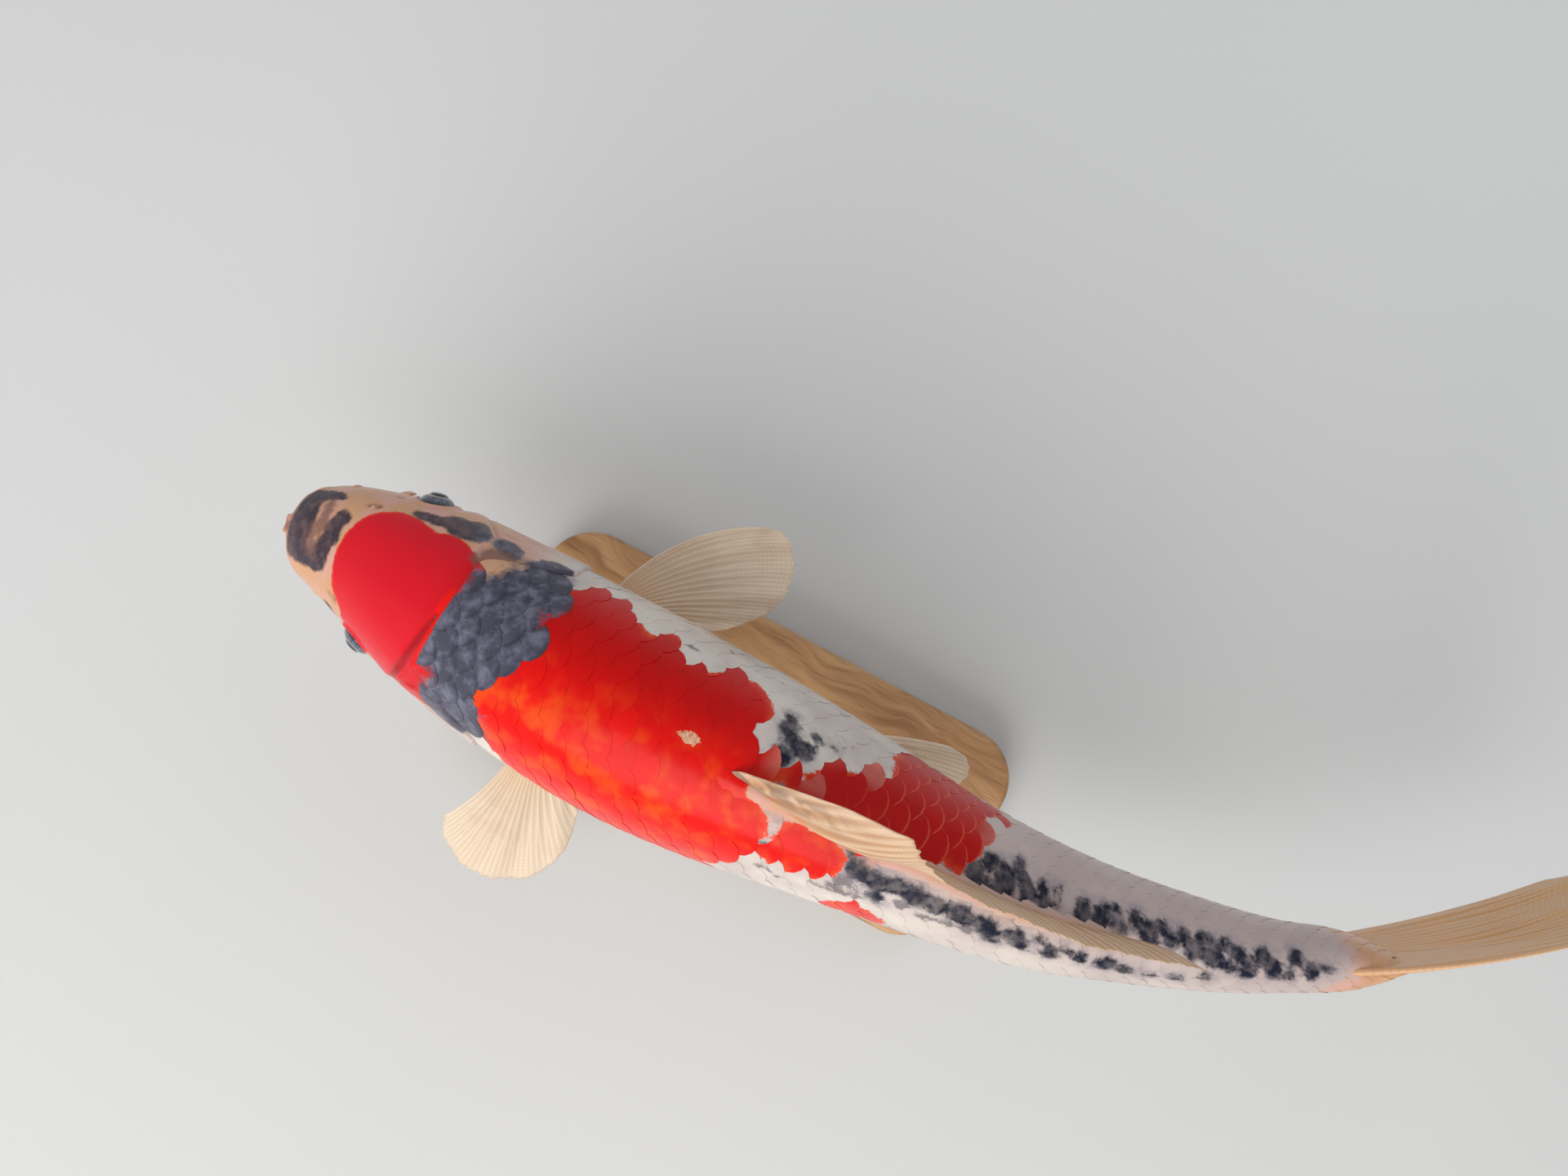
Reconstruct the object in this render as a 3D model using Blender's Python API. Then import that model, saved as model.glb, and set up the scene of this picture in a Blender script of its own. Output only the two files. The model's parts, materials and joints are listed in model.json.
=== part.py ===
"""A koi carp, modelled life size in a swimming pose and held on a plain display stand.

The head points along -X, the fish's right side is +Y, and +Z is up.  The origin is the
centre of the underside of the stand's base.  Lengths in the tables are fractions of the
standard length, which runs from the snout to the root of the tail fin.
"""
import math

import bmesh
import bpy
import numpy as np
from mathutils import Vector

STANDARD_LENGTH = 0.372
AXIS_HEIGHT = 0.112
ANCHOR_STATION = 0.35
ANCHOR_X = -0.0343
ANCHOR_Y = -0.0036

GAP = 0.0003
SEAM = 0.0012
RING_POINTS = 32
SECTION_POWER = 2.2
CAP_STATION = 0.19
SNOUT = -0.008

# station, level of the widest line, back, belly, half width
PROFILE = (
    (-0.008, -0.030, -0.022, -0.038, 0.008),
    (-0.004, -0.030, -0.015, -0.045, 0.021),
    (0.004, -0.030, -0.006, -0.052, 0.033),
    (0.020, -0.028, 0.007, -0.060, 0.043),
    (0.045, -0.024, 0.025, -0.069, 0.053),
    (0.075, -0.018, 0.045, -0.077, 0.062),
    (0.100, -0.013, 0.061, -0.084, 0.069),
    (0.140, -0.008, 0.083, -0.094, 0.079),
    (0.190, -0.006, 0.107, -0.107, 0.084),
    (0.250, -0.004, 0.129, -0.121, 0.089),
    (0.350, 0.000, 0.150, -0.137, 0.092),
    (0.430, 0.000, 0.155, -0.141, 0.088),
    (0.520, 0.000, 0.147, -0.138, 0.079),
    (0.620, 0.000, 0.126, -0.122, 0.067),
    (0.720, 0.000, 0.102, -0.098, 0.056),
    (0.800, 0.000, 0.083, -0.078, 0.046),
    (0.880, 0.000, 0.069, -0.064, 0.037),
    (0.940, 0.000, 0.063, -0.060, 0.029),
    (1.000, 0.000, 0.062, -0.062, 0.021),
    (1.020, 0.000, 0.062, -0.063, 0.013),
    (1.030, 0.000, 0.060, -0.061, 0.008),
)

# The pose seen from above: where the spine turns, how widely, and by how many degrees.
SPINE_BUMPS = ((0.0, 0.06, 11.0), (0.19, 0.115, -4.4), (0.453, 0.138, 2.8))
SPINE_TURNS = ((0.573, 0.841, 15.1), (0.807, 1.226, 31.6))
SPINE_STEPS = 701
SPINE_START = -0.02
SPINE_END = 1.38

# The line behind the skull and the gill covers that parts the head from the trunk.
NAPE_STATION = 0.166
GILL_STATION = 0.240
ISTHMUS_STATION = 0.170
GILL_TOP = 45.0
GILL_FOOT = 146.25
GILL_ROWS = 10
GILL_RADIUS = 0.030
SHOULDER = 0.30
TRUNK_SPLIT = 0.44
STALK_START = 0.77
STALK_END = (1.0, 1.02, 1.03)
HEAD_STEPS = (0.010, 0.04, 0.09, 0.16, 0.26, 0.37, 0.50, 0.63, 0.76, 0.88, 1.0)

EYE_STATION = 0.100
EYE_ANGLE = 80.0
EYE_RADIUS = 0.0074
EYE_PROUD = 0.0034

MOUTH_FRONT_LEVEL = -0.033
MOUTH_CORNER_LEVEL = -0.052
MOUTH_CORNER_STATION = 0.056
LIP_RADIUS = 0.0020
LIP_CORNER_RADIUS = 0.0012

DORSAL_START = 0.428
DORSAL_END = 0.765
ANAL_START = 0.768
ANAL_END = 0.835
TAIL_ROOT = 1.0312
TAIL_SPREAD_UPPER = 0.106
TAIL_SPREAD_LOWER = 0.112

BASE_LENGTH = 0.200
BASE_WIDTH = 0.086
BASE_HEIGHT = 0.012
BASE_CORNER = 0.020
BASE_BEVEL = 0.0015
ROD_RADIUS = 0.004
ROD_FOOT_RADIUS = 0.010
ROD_FOOT_HEIGHT = 0.003
ROD_STATIONS = (0.31, 0.54)

SKIN_RED = (0.62, 0.10, 0.03, 1.0)
SKIN_PALE = (0.80, 0.73, 0.68, 1.0)
SKIN_PINK = (0.80, 0.66, 0.60, 1.0)
SKIN_TAN = (0.66, 0.45, 0.28, 1.0)
FIN_TAN = (0.78, 0.64, 0.48, 1.0)
EYE_DARK = (0.03, 0.03, 0.04, 1.0)
STAND_WOOD = (0.46, 0.33, 0.21, 1.0)
STAND_STEEL = (0.62, 0.63, 0.64, 1.0)


def clear_scene():
    """Remove whatever the scene holds."""
    for item in list(bpy.data.objects):
        bpy.data.objects.remove(item, do_unlink=True)


def finish(name, colour, roughness, metallic=0.0):
    """Make one surface finish."""
    material = bpy.data.materials.new(name + "_finish")
    material.use_nodes = True
    shader = material.node_tree.nodes["Principled BSDF"]
    shader.inputs["Base Color"].default_value = colour
    shader.inputs["Roughness"].default_value = roughness
    shader.inputs["Metallic"].default_value = metallic
    material.diffuse_color = colour
    return material


def add_object(name, shape, material=None):
    """Turn a bmesh into a named object with smooth shading and outward faces."""
    bmesh.ops.recalc_face_normals(shape, faces=shape.faces[:])
    for face in shape.faces:
        face.smooth = True
    mesh = bpy.data.meshes.new(name)
    shape.to_mesh(mesh)
    shape.free()
    item = bpy.data.objects.new(name, mesh)
    bpy.context.collection.objects.link(item)
    if material:
        mesh.materials.append(material)
    return item


def as_cutter(item):
    """Keep a helper shape out of the render."""
    item.hide_render = True
    item.display_type = 'WIRE'
    return item


def combine(item, other, operation='DIFFERENCE'):
    """Cut one shape with another, or keep what they share."""
    boolean = item.modifiers.new(other.name, 'BOOLEAN')
    boolean.operation = operation
    boolean.solver = 'EXACT'
    boolean.object = other


def smooth_step(low, high, value):
    """Rise smoothly from 0 at low to 1 at high."""
    ramp = np.clip((value - low) / (high - low), 0.0, 1.0)
    return ramp * ramp * (3.0 - 2.0 * ramp)


def through(rows, column, value):
    """Read a smooth curve through one column of a table."""
    knots = np.array([row[0] for row in rows])
    heights = np.array([row[column] for row in rows])
    slopes = np.gradient(heights, knots)
    place = int(np.clip(np.searchsorted(knots, value) - 1, 0, len(knots) - 2))
    span = knots[place + 1] - knots[place]
    part = min(max((value - knots[place]) / span, 0.0), 1.0)
    start = heights[place] * (1 + 2 * part) * (1 - part) ** 2
    end = heights[place + 1] * part ** 2 * (3 - 2 * part)
    lift = slopes[place] * part * (1 - part) ** 2
    fall = slopes[place + 1] * part ** 2 * (part - 1)
    return start + end + span * (lift + fall)


def spine_heading(station):
    """Direction of the spine in degrees from +X towards +Y."""
    heading = np.zeros_like(station)
    for centre, width, turn in SPINE_BUMPS:
        heading = heading + turn * np.exp(-((station - centre) / width) ** 2)
    for start, end, turn in SPINE_TURNS:
        heading = heading + turn * smooth_step(start, end, station)
    return heading


def trace_spine():
    """Follow the headings from the snout to beyond the tail."""
    stations = np.linspace(SPINE_START, SPINE_END, SPINE_STEPS)
    headings = np.radians(spine_heading(stations))
    middle = 0.5 * (headings[1:] + headings[:-1])
    step = (stations[1] - stations[0]) * STANDARD_LENGTH
    along = np.concatenate(([0.0], np.cumsum(np.cos(middle)) * step))
    across = np.concatenate(([0.0], np.cumsum(np.sin(middle)) * step))
    along += ANCHOR_X - np.interp(ANCHOR_STATION, stations, along)
    across += ANCHOR_Y - np.interp(ANCHOR_STATION, stations, across)
    return stations, along, across, headings


SPINE = trace_spine()


def place_on_spine(station, side, level):
    """A point beside and above the spine; side and level are in metres."""
    stations, along, across, headings = SPINE
    x = np.interp(station, stations, along)
    y = np.interp(station, stations, across)
    heading = np.interp(station, stations, headings)
    return Vector((x - math.sin(heading) * side, y + math.cos(heading) * side, AXIS_HEIGHT + level))


def spine_direction(station):
    """Unit vector towards the tail."""
    heading = np.interp(station, SPINE[0], SPINE[3])
    return Vector((math.cos(heading), math.sin(heading), 0.0))


def section_size(station):
    """Level, height above it, depth below it and half width, in metres."""
    level, back, belly, half = (through(PROFILE, column, station) for column in (1, 2, 3, 4))
    return tuple(STANDARD_LENGTH * size for size in (level, back - level, level - belly, half))


def body_point(station, angle, proud=0.0):
    """A point on the skin; angle 0 is the back, 90 the right side, 180 the belly."""
    level, above, below, half = section_size(station)
    turn = math.radians(angle)
    height = above if math.cos(turn) >= 0 else below
    wide = (abs(math.sin(turn)) / half) ** SECTION_POWER
    tall = (abs(math.cos(turn)) / height) ** SECTION_POWER
    reach = (wide + tall) ** (-1.0 / SECTION_POWER) + proud
    return place_on_spine(station, reach * math.sin(turn), level + reach * math.cos(turn))


def side_point(station, height, side, proud=0.0):
    """A point on the skin at a height above the axis, as a fraction; side is 1 or -1."""
    level, above, below, half = section_size(station)
    rise = height * STANDARD_LENGTH - level
    share = min(abs(rise) / (above if rise > 0 else below), 1.0)
    reach = half * (1.0 - share ** SECTION_POWER) ** (1.0 / SECTION_POWER)
    return place_on_spine(station, side * (reach + proud), level + rise)


def skin_normal(station, angle):
    """Unit vector straight out of the skin."""
    along = body_point(station + 0.004, angle) - body_point(station - 0.004, angle)
    around = body_point(station, angle + 2.0) - body_point(station, angle - 2.0)
    normal = around.cross(along).normalized()
    outward = body_point(station, angle) - place_on_spine(station, 0.0, 0.0)
    return normal if normal.dot(outward) > 0 else -normal


def loft(rings, tips):
    """Join closed rings in order and close each end on a tip point."""
    shape = bmesh.new()
    rows = [[shape.verts.new(point) for point in ring] for ring in rings]
    count = len(rows[0])
    for row, after in zip(rows, rows[1:]):
        for k in range(count):
            shape.faces.new((row[k], row[(k + 1) % count], after[(k + 1) % count], after[k]))
    for row, tip in zip((rows[0], rows[-1]), tips):
        end = shape.verts.new(tip)
        for k in range(count):
            shape.faces.new((row[k], row[(k + 1) % count], end))
    return shape


def two_sheets(outer, inner):
    """Close the space between two grids of points that have the same rows and columns."""
    shape = bmesh.new()
    sheets = [[[shape.verts.new(point) for point in row] for row in grid] for grid in (outer, inner)]
    rows = len(outer)
    columns = len(outer[0])
    for sheet in sheets:
        for i in range(rows - 1):
            for j in range(columns - 1):
                shape.faces.new((sheet[i][j], sheet[i + 1][j], sheet[i + 1][j + 1], sheet[i][j + 1]))
    border = [(i, 0) for i in range(rows)]
    border += [(rows - 1, j) for j in range(1, columns)]
    border += [(i, columns - 1) for i in range(rows - 2, -1, -1)]
    border += [(0, j) for j in range(columns - 2, 0, -1)]
    for (a, b), (c, d) in zip(border, border[1:] + border[:1]):
        shape.faces.new((sheets[0][a][b], sheets[0][c][d], sheets[1][c][d], sheets[1][a][b]))
    return shape


def ring_angles():
    """Angles of the points round a body ring."""
    return [360.0 * k / RING_POINTS for k in range(RING_POINTS)]


def parting_station(angle):
    """Where the head ends and the trunk begins, round the body."""
    turned = abs((angle + 180.0) % 360.0 - 180.0)
    sweep = smooth_step(30.0, 54.0, turned)
    throat = smooth_step(118.0, 172.0, turned)
    side = NAPE_STATION + (GILL_STATION - NAPE_STATION) * sweep
    return side + (ISTHMUS_STATION - GILL_STATION) * throat


def body_length(name, stations, material, proud=0.0):
    """One closed length of the body, squared off at both ends."""
    rings = [[body_point(s, a, proud) for a in ring_angles()] for s in stations]
    ends = [place_on_spine(s, 0.0, 0.0) for s in (stations[0], stations[-1])]
    return add_object(name, loft(rings, ends), material)


def evenly(start, end, count):
    """Evenly spaced values, both ends included."""
    return [start + (end - start) * k / (count - 1) for k in range(count)]


def shoulder_stations(trim):
    """Rings from the shoulder to the middle of the trunk."""
    return evenly(SHOULDER, TRUNK_SPLIT - trim, 5)


def rear_stations(trim):
    """Rings from the middle of the trunk to the vent."""
    return evenly(TRUNK_SPLIT + trim, STALK_START - trim, 9)


def stalk_stations(trim):
    """Rings from the vent to the root of the tail fin."""
    return evenly(STALK_START + trim, 0.98, 7) + list(STALK_END)


def head_skin(name, material=None):
    """The head from the snout to the parting line."""
    rings = []
    for share in HEAD_STEPS:
        reach = [SNOUT + (parting_station(a) - SNOUT) * share for a in ring_angles()]
        rings.append([body_point(s, a) for s, a in zip(reach, ring_angles())])
    snout = place_on_spine(SNOUT, 0.0, STANDARD_LENGTH * MOUTH_FRONT_LEVEL)
    return add_object(name, loft(rings, (snout, place_on_spine(CAP_STATION, 0.0, 0.0))), material)


def trunk_front(material):
    """The shoulders and the first half of the trunk, starting along the gill openings."""
    start = [body_point(parting_station(a) + SEAM, a) for a in ring_angles()]
    rings = [start]
    for share in (0.25, 0.5, 0.75):
        starts = [parting_station(a) + SEAM for a in ring_angles()]
        rings.append([body_point(s + (SHOULDER - s) * share, a) for s, a in zip(starts, ring_angles())])
    for s in shoulder_stations(SEAM / 2):
        rings.append([body_point(s, a) for a in ring_angles()])
    ends = [place_on_spine(s, 0.0, 0.0) for s in (CAP_STATION + SEAM, TRUNK_SPLIT - SEAM / 2)]
    return add_object("trunk_front", loft(rings, ends), material)


def gill_patch(side, margin, overrun, inner_proud, outer_proud):
    """The plate over the gills on one side; margin, in metres, grows its outline."""
    outer = []
    inner = []
    turn = math.degrees(margin / GILL_RADIUS)
    angles = evenly(GILL_TOP, GILL_FOOT, GILL_ROWS)
    for angle in [angles[0] - turn] + angles[1:-1] + [angles[-1] + turn]:
        bow = ((angle - 98.0) / 52.0) ** 2
        front = 0.142 + 0.030 * bow - margin / STANDARD_LENGTH
        rear = parting_station(angle) + overrun
        lean = inner_proud / GILL_RADIUS * max(rear - CAP_STATION, 0.0)
        outer_row = []
        inner_row = []
        for share in evenly(0.0, 1.0, 6):
            station = front + (rear - front) * share
            lift = outer_proud * (0.25 + 0.75 * share)
            outer_row.append(body_point(station, side * angle, lift))
            inner_row.append(body_point(station - lean * share, side * angle, -inner_proud))
        outer.append(outer_row)
        inner.append(inner_row)
    return two_sheets(outer, inner)


def gill_cover(name, side, material, head):
    """A thin bony plate let into the side of the head."""
    recess = as_cutter(add_object(name + "_recess", gill_patch(side, GAP, 0.010, 0.0019, 0.006)))
    combine(head, recess)
    return add_object(name, gill_patch(side, 0.0, 0.0, 0.0016, 0.0007), material)


def ball(name, centre, radius, material=None, across=16, around=10):
    """A round ball."""
    shape = bmesh.new()
    bmesh.ops.create_uvsphere(shape, u_segments=across, v_segments=around, radius=radius)
    item = add_object(name, shape, material)
    item.location = centre
    return item


def eye(name, side, material, head):
    """An eyeball in its socket."""
    rim = body_point(EYE_STATION, side * EYE_ANGLE)
    centre = rim - skin_normal(EYE_STATION, side * EYE_ANGLE) * (EYE_RADIUS - EYE_PROUD)
    socket = as_cutter(ball(name + "_socket", centre, EYE_RADIUS + GAP))
    combine(head, socket)
    return ball(name, centre, EYE_RADIUS, material)


def tube(centres, radii, sides):
    """A round tube along a line of points, closed at both ends."""
    rings = []
    count = len(centres)
    for k, (centre, radius) in enumerate(zip(centres, radii)):
        along = (centres[min(k + 1, count - 1)] - centres[max(k - 1, 0)]).normalized()
        across = along.cross(Vector((0.0, 0.0, 1.0))).normalized()
        up = across.cross(along)
        turns = [math.tau * step / sides for step in range(sides)]
        rings.append([centre + radius * (math.cos(t) * across + math.sin(t) * up) for t in turns])
    return loft(rings, (centres[0], centres[-1]))


def mouth_line(lift, inset):
    """Points round the closed mouth from the left corner to the right one."""
    points = []
    for turn in evenly(-88.0, 88.0, 13):
        share = 1.0 - math.cos(math.radians(turn))
        station = SNOUT + (MOUTH_CORNER_STATION - SNOUT) * share
        drop = (MOUTH_CORNER_LEVEL - MOUTH_FRONT_LEVEL) * share
        side = math.copysign(min(abs(turn) / 10.0, 1.0), turn)
        point = side_point(station, MOUTH_FRONT_LEVEL + drop, side, -inset)
        points.append(point + Vector((inset * (1.0 - share), 0.0, lift)))
    return points


def lip_radii(extra=0.0):
    """Lip thickness, fullest at the front."""
    shares = [math.cos(math.radians(turn)) for turn in evenly(-88.0, 88.0, 13)]
    return [LIP_CORNER_RADIUS + (LIP_RADIUS - LIP_CORNER_RADIUS) * s + extra for s in shares]


def lip(name, up, material, neighbours):
    """One lip, a soft roll round the mouth."""
    centres = mouth_line(up * (LIP_RADIUS + GAP / 2), 0.0006)
    bed = as_cutter(add_object(name + "_bed", tube(centres, lip_radii(GAP), 8)))
    for item in neighbours:
        combine(item, bed)
    return add_object(name, tube(centres, lip_radii(), 8), material)


def jaw_block(name, drop):
    """The block of space that holds the lower jaw."""
    corners = (
        (-0.040, MOUTH_FRONT_LEVEL),
        (SNOUT, MOUTH_FRONT_LEVEL),
        (MOUTH_CORNER_STATION, MOUTH_CORNER_LEVEL),
        (0.124, -0.100),
        (0.124, -0.160),
        (-0.040, -0.160),
    )
    front = place_on_spine(0.0, 0.0, 0.0)
    outline = [(front.x + s * STANDARD_LENGTH, AXIS_HEIGHT + z * STANDARD_LENGTH - drop) for s, z in corners]
    shape = bmesh.new()
    rows = []
    for y in (-0.05, 0.05):
        rows.append([shape.verts.new((x, front.y + y, z)) for x, z in outline])
    count = len(corners)
    for k in range(count):
        shape.faces.new((rows[0][k], rows[0][(k + 1) % count], rows[1][(k + 1) % count], rows[1][k]))
    for row in rows:
        shape.faces.new(row)
    return as_cutter(add_object(name, shape))


def barbel(name, side, station, height, length, radius, material, clearance):
    """A soft feeler that tapers to a blunt tip."""
    root = side_point(station, height, side, -0.0010)
    back = spine_direction(station)
    right = Vector((-back.y, back.x, 0.0))
    centres = []
    for share in evenly(0.0, 1.0, 7):
        out = back * (0.20 * share) + right * (side * (0.62 - 0.26 * share))
        out.z = -0.40 - 0.45 * share
        centres.append(root + out * length * share)
    radii = [radius * (1.0 - 0.1 * step) for step in range(7)]
    item = add_object(name, tube(centres, radii, 8), material)
    combine(item, clearance)
    return item


def blade(name, roots, tips, thick_root, thick_edge, material, clearance, steps, bows):
    """A fin: a thin solid between a line of roots and a line of tips, with bowed rays."""
    middle = []
    for root, tip, bow in zip(roots, tips, bows):
        shares = evenly(0.0, 1.0, steps + 1)
        middle.append([root.lerp(tip, s) + bow * (4.0 * s * (1.0 - s)) for s in shares])
    outer = []
    inner = []
    count = len(middle)
    for i, row in enumerate(middle):
        outer.append([])
        inner.append([])
        for j, point in enumerate(row):
            along = row[min(j + 1, steps)] - row[max(j - 1, 0)]
            across = middle[min(i + 1, count - 1)][j] - middle[max(i - 1, 0)][j]
            normal = along.cross(across).normalized()
            rim = 0.75 if i in (0, count - 1) else 1.0
            half = rim * (thick_root + (thick_edge - thick_root) * j / steps) / 2
            outer[-1].append(point + normal * half)
            inner[-1].append(point - normal * half)
    item = add_object(name, two_sheets(outer, inner), material)
    if clearance:
        combine(item, clearance)
    return item


def dorsal_fin(material, clearance):
    """The long back fin, folded back with its front lobe leaning to the right."""
    # share of the base, ray length, lean to the right, rise
    rays = (
        (0.000, 0.030, 0.012, 0.52),
        (0.025, 0.062, 0.019, 0.53),
        (0.055, 0.105, 0.022, 0.54),
        (0.085, 0.148, 0.022, 0.55),
        (0.150, 0.134, 0.018, 0.54),
        (0.240, 0.112, 0.011, 0.52),
        (0.400, 0.090, 0.003, 0.50),
        (0.600, 0.078, -0.002, 0.48),
        (0.800, 0.078, -0.004, 0.42),
        (1.000, 0.084, -0.004, 0.32),
    )
    roots = []
    tips = []
    for share in (0.0, 0.025, 0.055, 0.085, 0.15, 0.23, 0.32, 0.42, 0.53, 0.65, 0.77, 0.88, 1.0):
        station = DORSAL_START + (DORSAL_END - DORSAL_START) * share
        length, lean, rise = (float(through(rays, column, share)) for column in (1, 2, 3))
        root = body_point(station, 0.0, -0.004)
        back = spine_direction(station + 0.05)
        right = Vector((-back.y, back.x, 0.0))
        ahead = math.sqrt(max(1.0 - rise ** 2, 0.0)) * length
        flow = back * ahead + right * lean + Vector((0.0, 0.0, rise * length + 0.008))
        roots.append(root)
        tips.append(root + flow * STANDARD_LENGTH)
    bows = [Vector((0.0, 0.0022, 0.0010))] * len(roots)
    return blade("dorsal_fin", roots, tips, 0.0026, 0.0008, material, clearance, 5, bows)


def anal_fin(material, clearance):
    """The short fin under the tail stalk."""
    roots = []
    tips = []
    for share in evenly(0.0, 1.0, 8):
        station = ANAL_START + (ANAL_END - ANAL_START) * share
        length = 0.125 - 0.075 * share ** 0.8
        if share == 0.0:
            length = 0.105
        back = spine_direction(station + 0.03)
        root = body_point(station, 180.0, -0.004)
        roots.append(root)
        tips.append(root + STANDARD_LENGTH * length * (0.66 * back + Vector((0.0, 0.0, -0.75))))
    bows = [Vector((0.0, 0.0, 0.0))] * len(roots)
    return blade("anal_fin", roots, tips, 0.0024, 0.0008, material, clearance, 4, bows)


def tail_lobe(name, side, material):
    """One lobe of the forked tail fin; side is 1 for the upper lobe and -1 for the lower."""
    spread = TAIL_SPREAD_UPPER if side > 0 else TAIL_SPREAD_LOWER
    lift = Vector((0.0, 0.0, side * GAP / 2))
    roots = []
    tips = []
    for share in evenly(0.0, 1.0, 10):
        notch = 0.165 + 0.088 * share ** 1.6
        length = notch - 0.055 * float(smooth_step(0.93, 1.0, share))
        level = side * share * STANDARD_LENGTH
        roots.append(place_on_spine(TAIL_ROOT, 0.0, 0.056 * level) + lift)
        tips.append(place_on_spine(TAIL_ROOT + length, 0.0, spread * level) + lift)
    ends = place_on_spine(1.03, 0.0, 0.0) + place_on_spine(1.21, 0.0, 0.0)
    bend = place_on_spine(1.12, 0.0, 0.0) - 0.5 * ends
    return blade(name, roots, tips, 0.0034, 0.0008, material, None, 6, [bend] * len(roots))


def paired_fin(name, fan, root_start, root_end, root_levels, side, dip, thick, material, clearance):
    """A pectoral or pelvic fin; fan rows are share, azimuth, ray length and backward curl."""
    roots = []
    tips = []
    bows = []
    for share in evenly(0.0, 1.0, 10):
        azimuth, length, curl = (float(through(fan, column, share)) for column in (1, 2, 3))
        station = root_start + (root_end - root_start) * share
        level = root_levels[0] + (root_levels[1] - root_levels[0]) * share
        root = side_point(station, level, side, -0.005)
        turn = math.radians(azimuth)
        fall = math.radians(dip[0] + (dip[1] - dip[0]) * share)
        flat = Vector((math.cos(turn), side * math.sin(turn), 0.0)) * math.cos(fall)
        flow = flat + Vector((0.0, 0.0, -math.sin(fall)))
        roots.append(root)
        tips.append(root + flow * (length * STANDARD_LENGTH + 0.005))
        ahead = Vector((-math.sin(turn), side * math.cos(turn), 0.0))
        bows.append(ahead * (math.tan(math.radians(curl)) * length * STANDARD_LENGTH / 2))
    return blade(name, roots, tips, thick, 0.0008, material, clearance, 5, bows)


def pectoral_fins(material_right, material_left, clearance):
    """The fins behind the gill covers: the right one swept back, the left one held out."""
    right = (
        (0.00, 53.5, 0.146, 14.0),
        (0.12, 50.0, 0.161, 13.0),
        (0.30, 43.5, 0.163, 10.0),
        (0.50, 36.0, 0.152, 7.0),
        (0.70, 28.5, 0.131, 4.0),
        (0.85, 23.0, 0.104, 2.0),
        (1.00, 17.0, 0.068, 0.0),
    )
    left = (
        (0.00, 109.0, 0.140, -6.0),
        (0.12, 105.0, 0.164, -6.0),
        (0.30, 96.0, 0.178, -3.0),
        (0.50, 84.0, 0.179, 0.0),
        (0.70, 72.0, 0.160, 3.0),
        (0.85, 61.0, 0.126, 5.0),
        (1.00, 47.0, 0.075, 6.0),
    )
    first = paired_fin("pectoral_fin_right", right, 0.262, 0.284, (-0.054, -0.068), 1.0,
                       (9.0, 14.0), 0.0030, material_right, clearance)
    second = paired_fin("pectoral_fin_left", left, 0.262, 0.284, (-0.056, -0.070), -1.0,
                        (36.0, 34.0), 0.0030, material_left, clearance)
    return first, second


def pelvic_fins(material_right, material_left, clearance):
    """The fins under the belly."""
    fan = (
        (0.00, 23.0, 0.152, 5.0),
        (0.20, 18.0, 0.158, 5.0),
        (0.50, 11.0, 0.144, 4.0),
        (0.80, 4.0, 0.114, 2.0),
        (1.00, -2.0, 0.082, 0.0),
    )
    levels = (-0.116, -0.125)
    first = paired_fin("pelvic_fin_right", fan, 0.485, 0.510, levels, 1.0,
                       (16.0, 20.0), 0.0026, material_right, clearance)
    second = paired_fin("pelvic_fin_left", fan, 0.485, 0.510, levels, -1.0,
                        (21.0, 25.0), 0.0026, material_left, clearance)
    return first, second


def stand_base(material):
    """A flat plate with round corners."""
    shape = bmesh.new()
    outline = []
    for cx, cy, start in ((1, 1, 0), (-1, 1, 90), (-1, -1, 180), (1, -1, 270)):
        for step in range(7):
            turn = math.radians(start + 15.0 * step)
            x = cx * (BASE_LENGTH / 2 - BASE_CORNER) + BASE_CORNER * math.cos(turn)
            y = cy * (BASE_WIDTH / 2 - BASE_CORNER) + BASE_CORNER * math.sin(turn)
            outline.append(shape.verts.new((x, y, 0.0)))
    face = shape.faces.new(outline)
    grown = bmesh.ops.extrude_face_region(shape, geom=[face])
    tops = [item for item in grown["geom"] if isinstance(item, bmesh.types.BMVert)]
    bmesh.ops.translate(shape, verts=tops, vec=(0.0, 0.0, BASE_HEIGHT))
    item = add_object("stand_base", shape, material)
    for polygon in item.data.polygons:
        polygon.use_smooth = False
    bevel = item.modifiers.new("edge", 'BEVEL')
    bevel.width = BASE_BEVEL
    bevel.segments = 2
    bevel.limit_method = 'ANGLE'
    bevel.angle_limit = math.radians(60.0)
    return item


def stand_rod(name, station, material, clearance):
    """A rod with a small foot; its top is shaped to the belly."""
    place = place_on_spine(station, 0.0, 0.0)
    top = body_point(station, 180.0).z + 0.012
    bottom = BASE_HEIGHT + GAP
    profile = (
        (ROD_FOOT_RADIUS, bottom),
        (ROD_FOOT_RADIUS, bottom + 0.7 * ROD_FOOT_HEIGHT),
        (ROD_FOOT_RADIUS * 0.85, bottom + ROD_FOOT_HEIGHT),
        (ROD_RADIUS, bottom + ROD_FOOT_HEIGHT),
        (ROD_RADIUS, top),
    )
    rings = []
    for radius, z in profile:
        turns = [math.tau * step / 24 for step in range(24)]
        rings.append([Vector((radius * math.cos(t), radius * math.sin(t), z)) for t in turns])
    item = add_object(name, loft(rings, (Vector((0, 0, bottom)), Vector((0, 0, top)))), material)
    item.location = (place.x, place.y, 0.0)
    combine(item, clearance)
    return item


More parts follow.
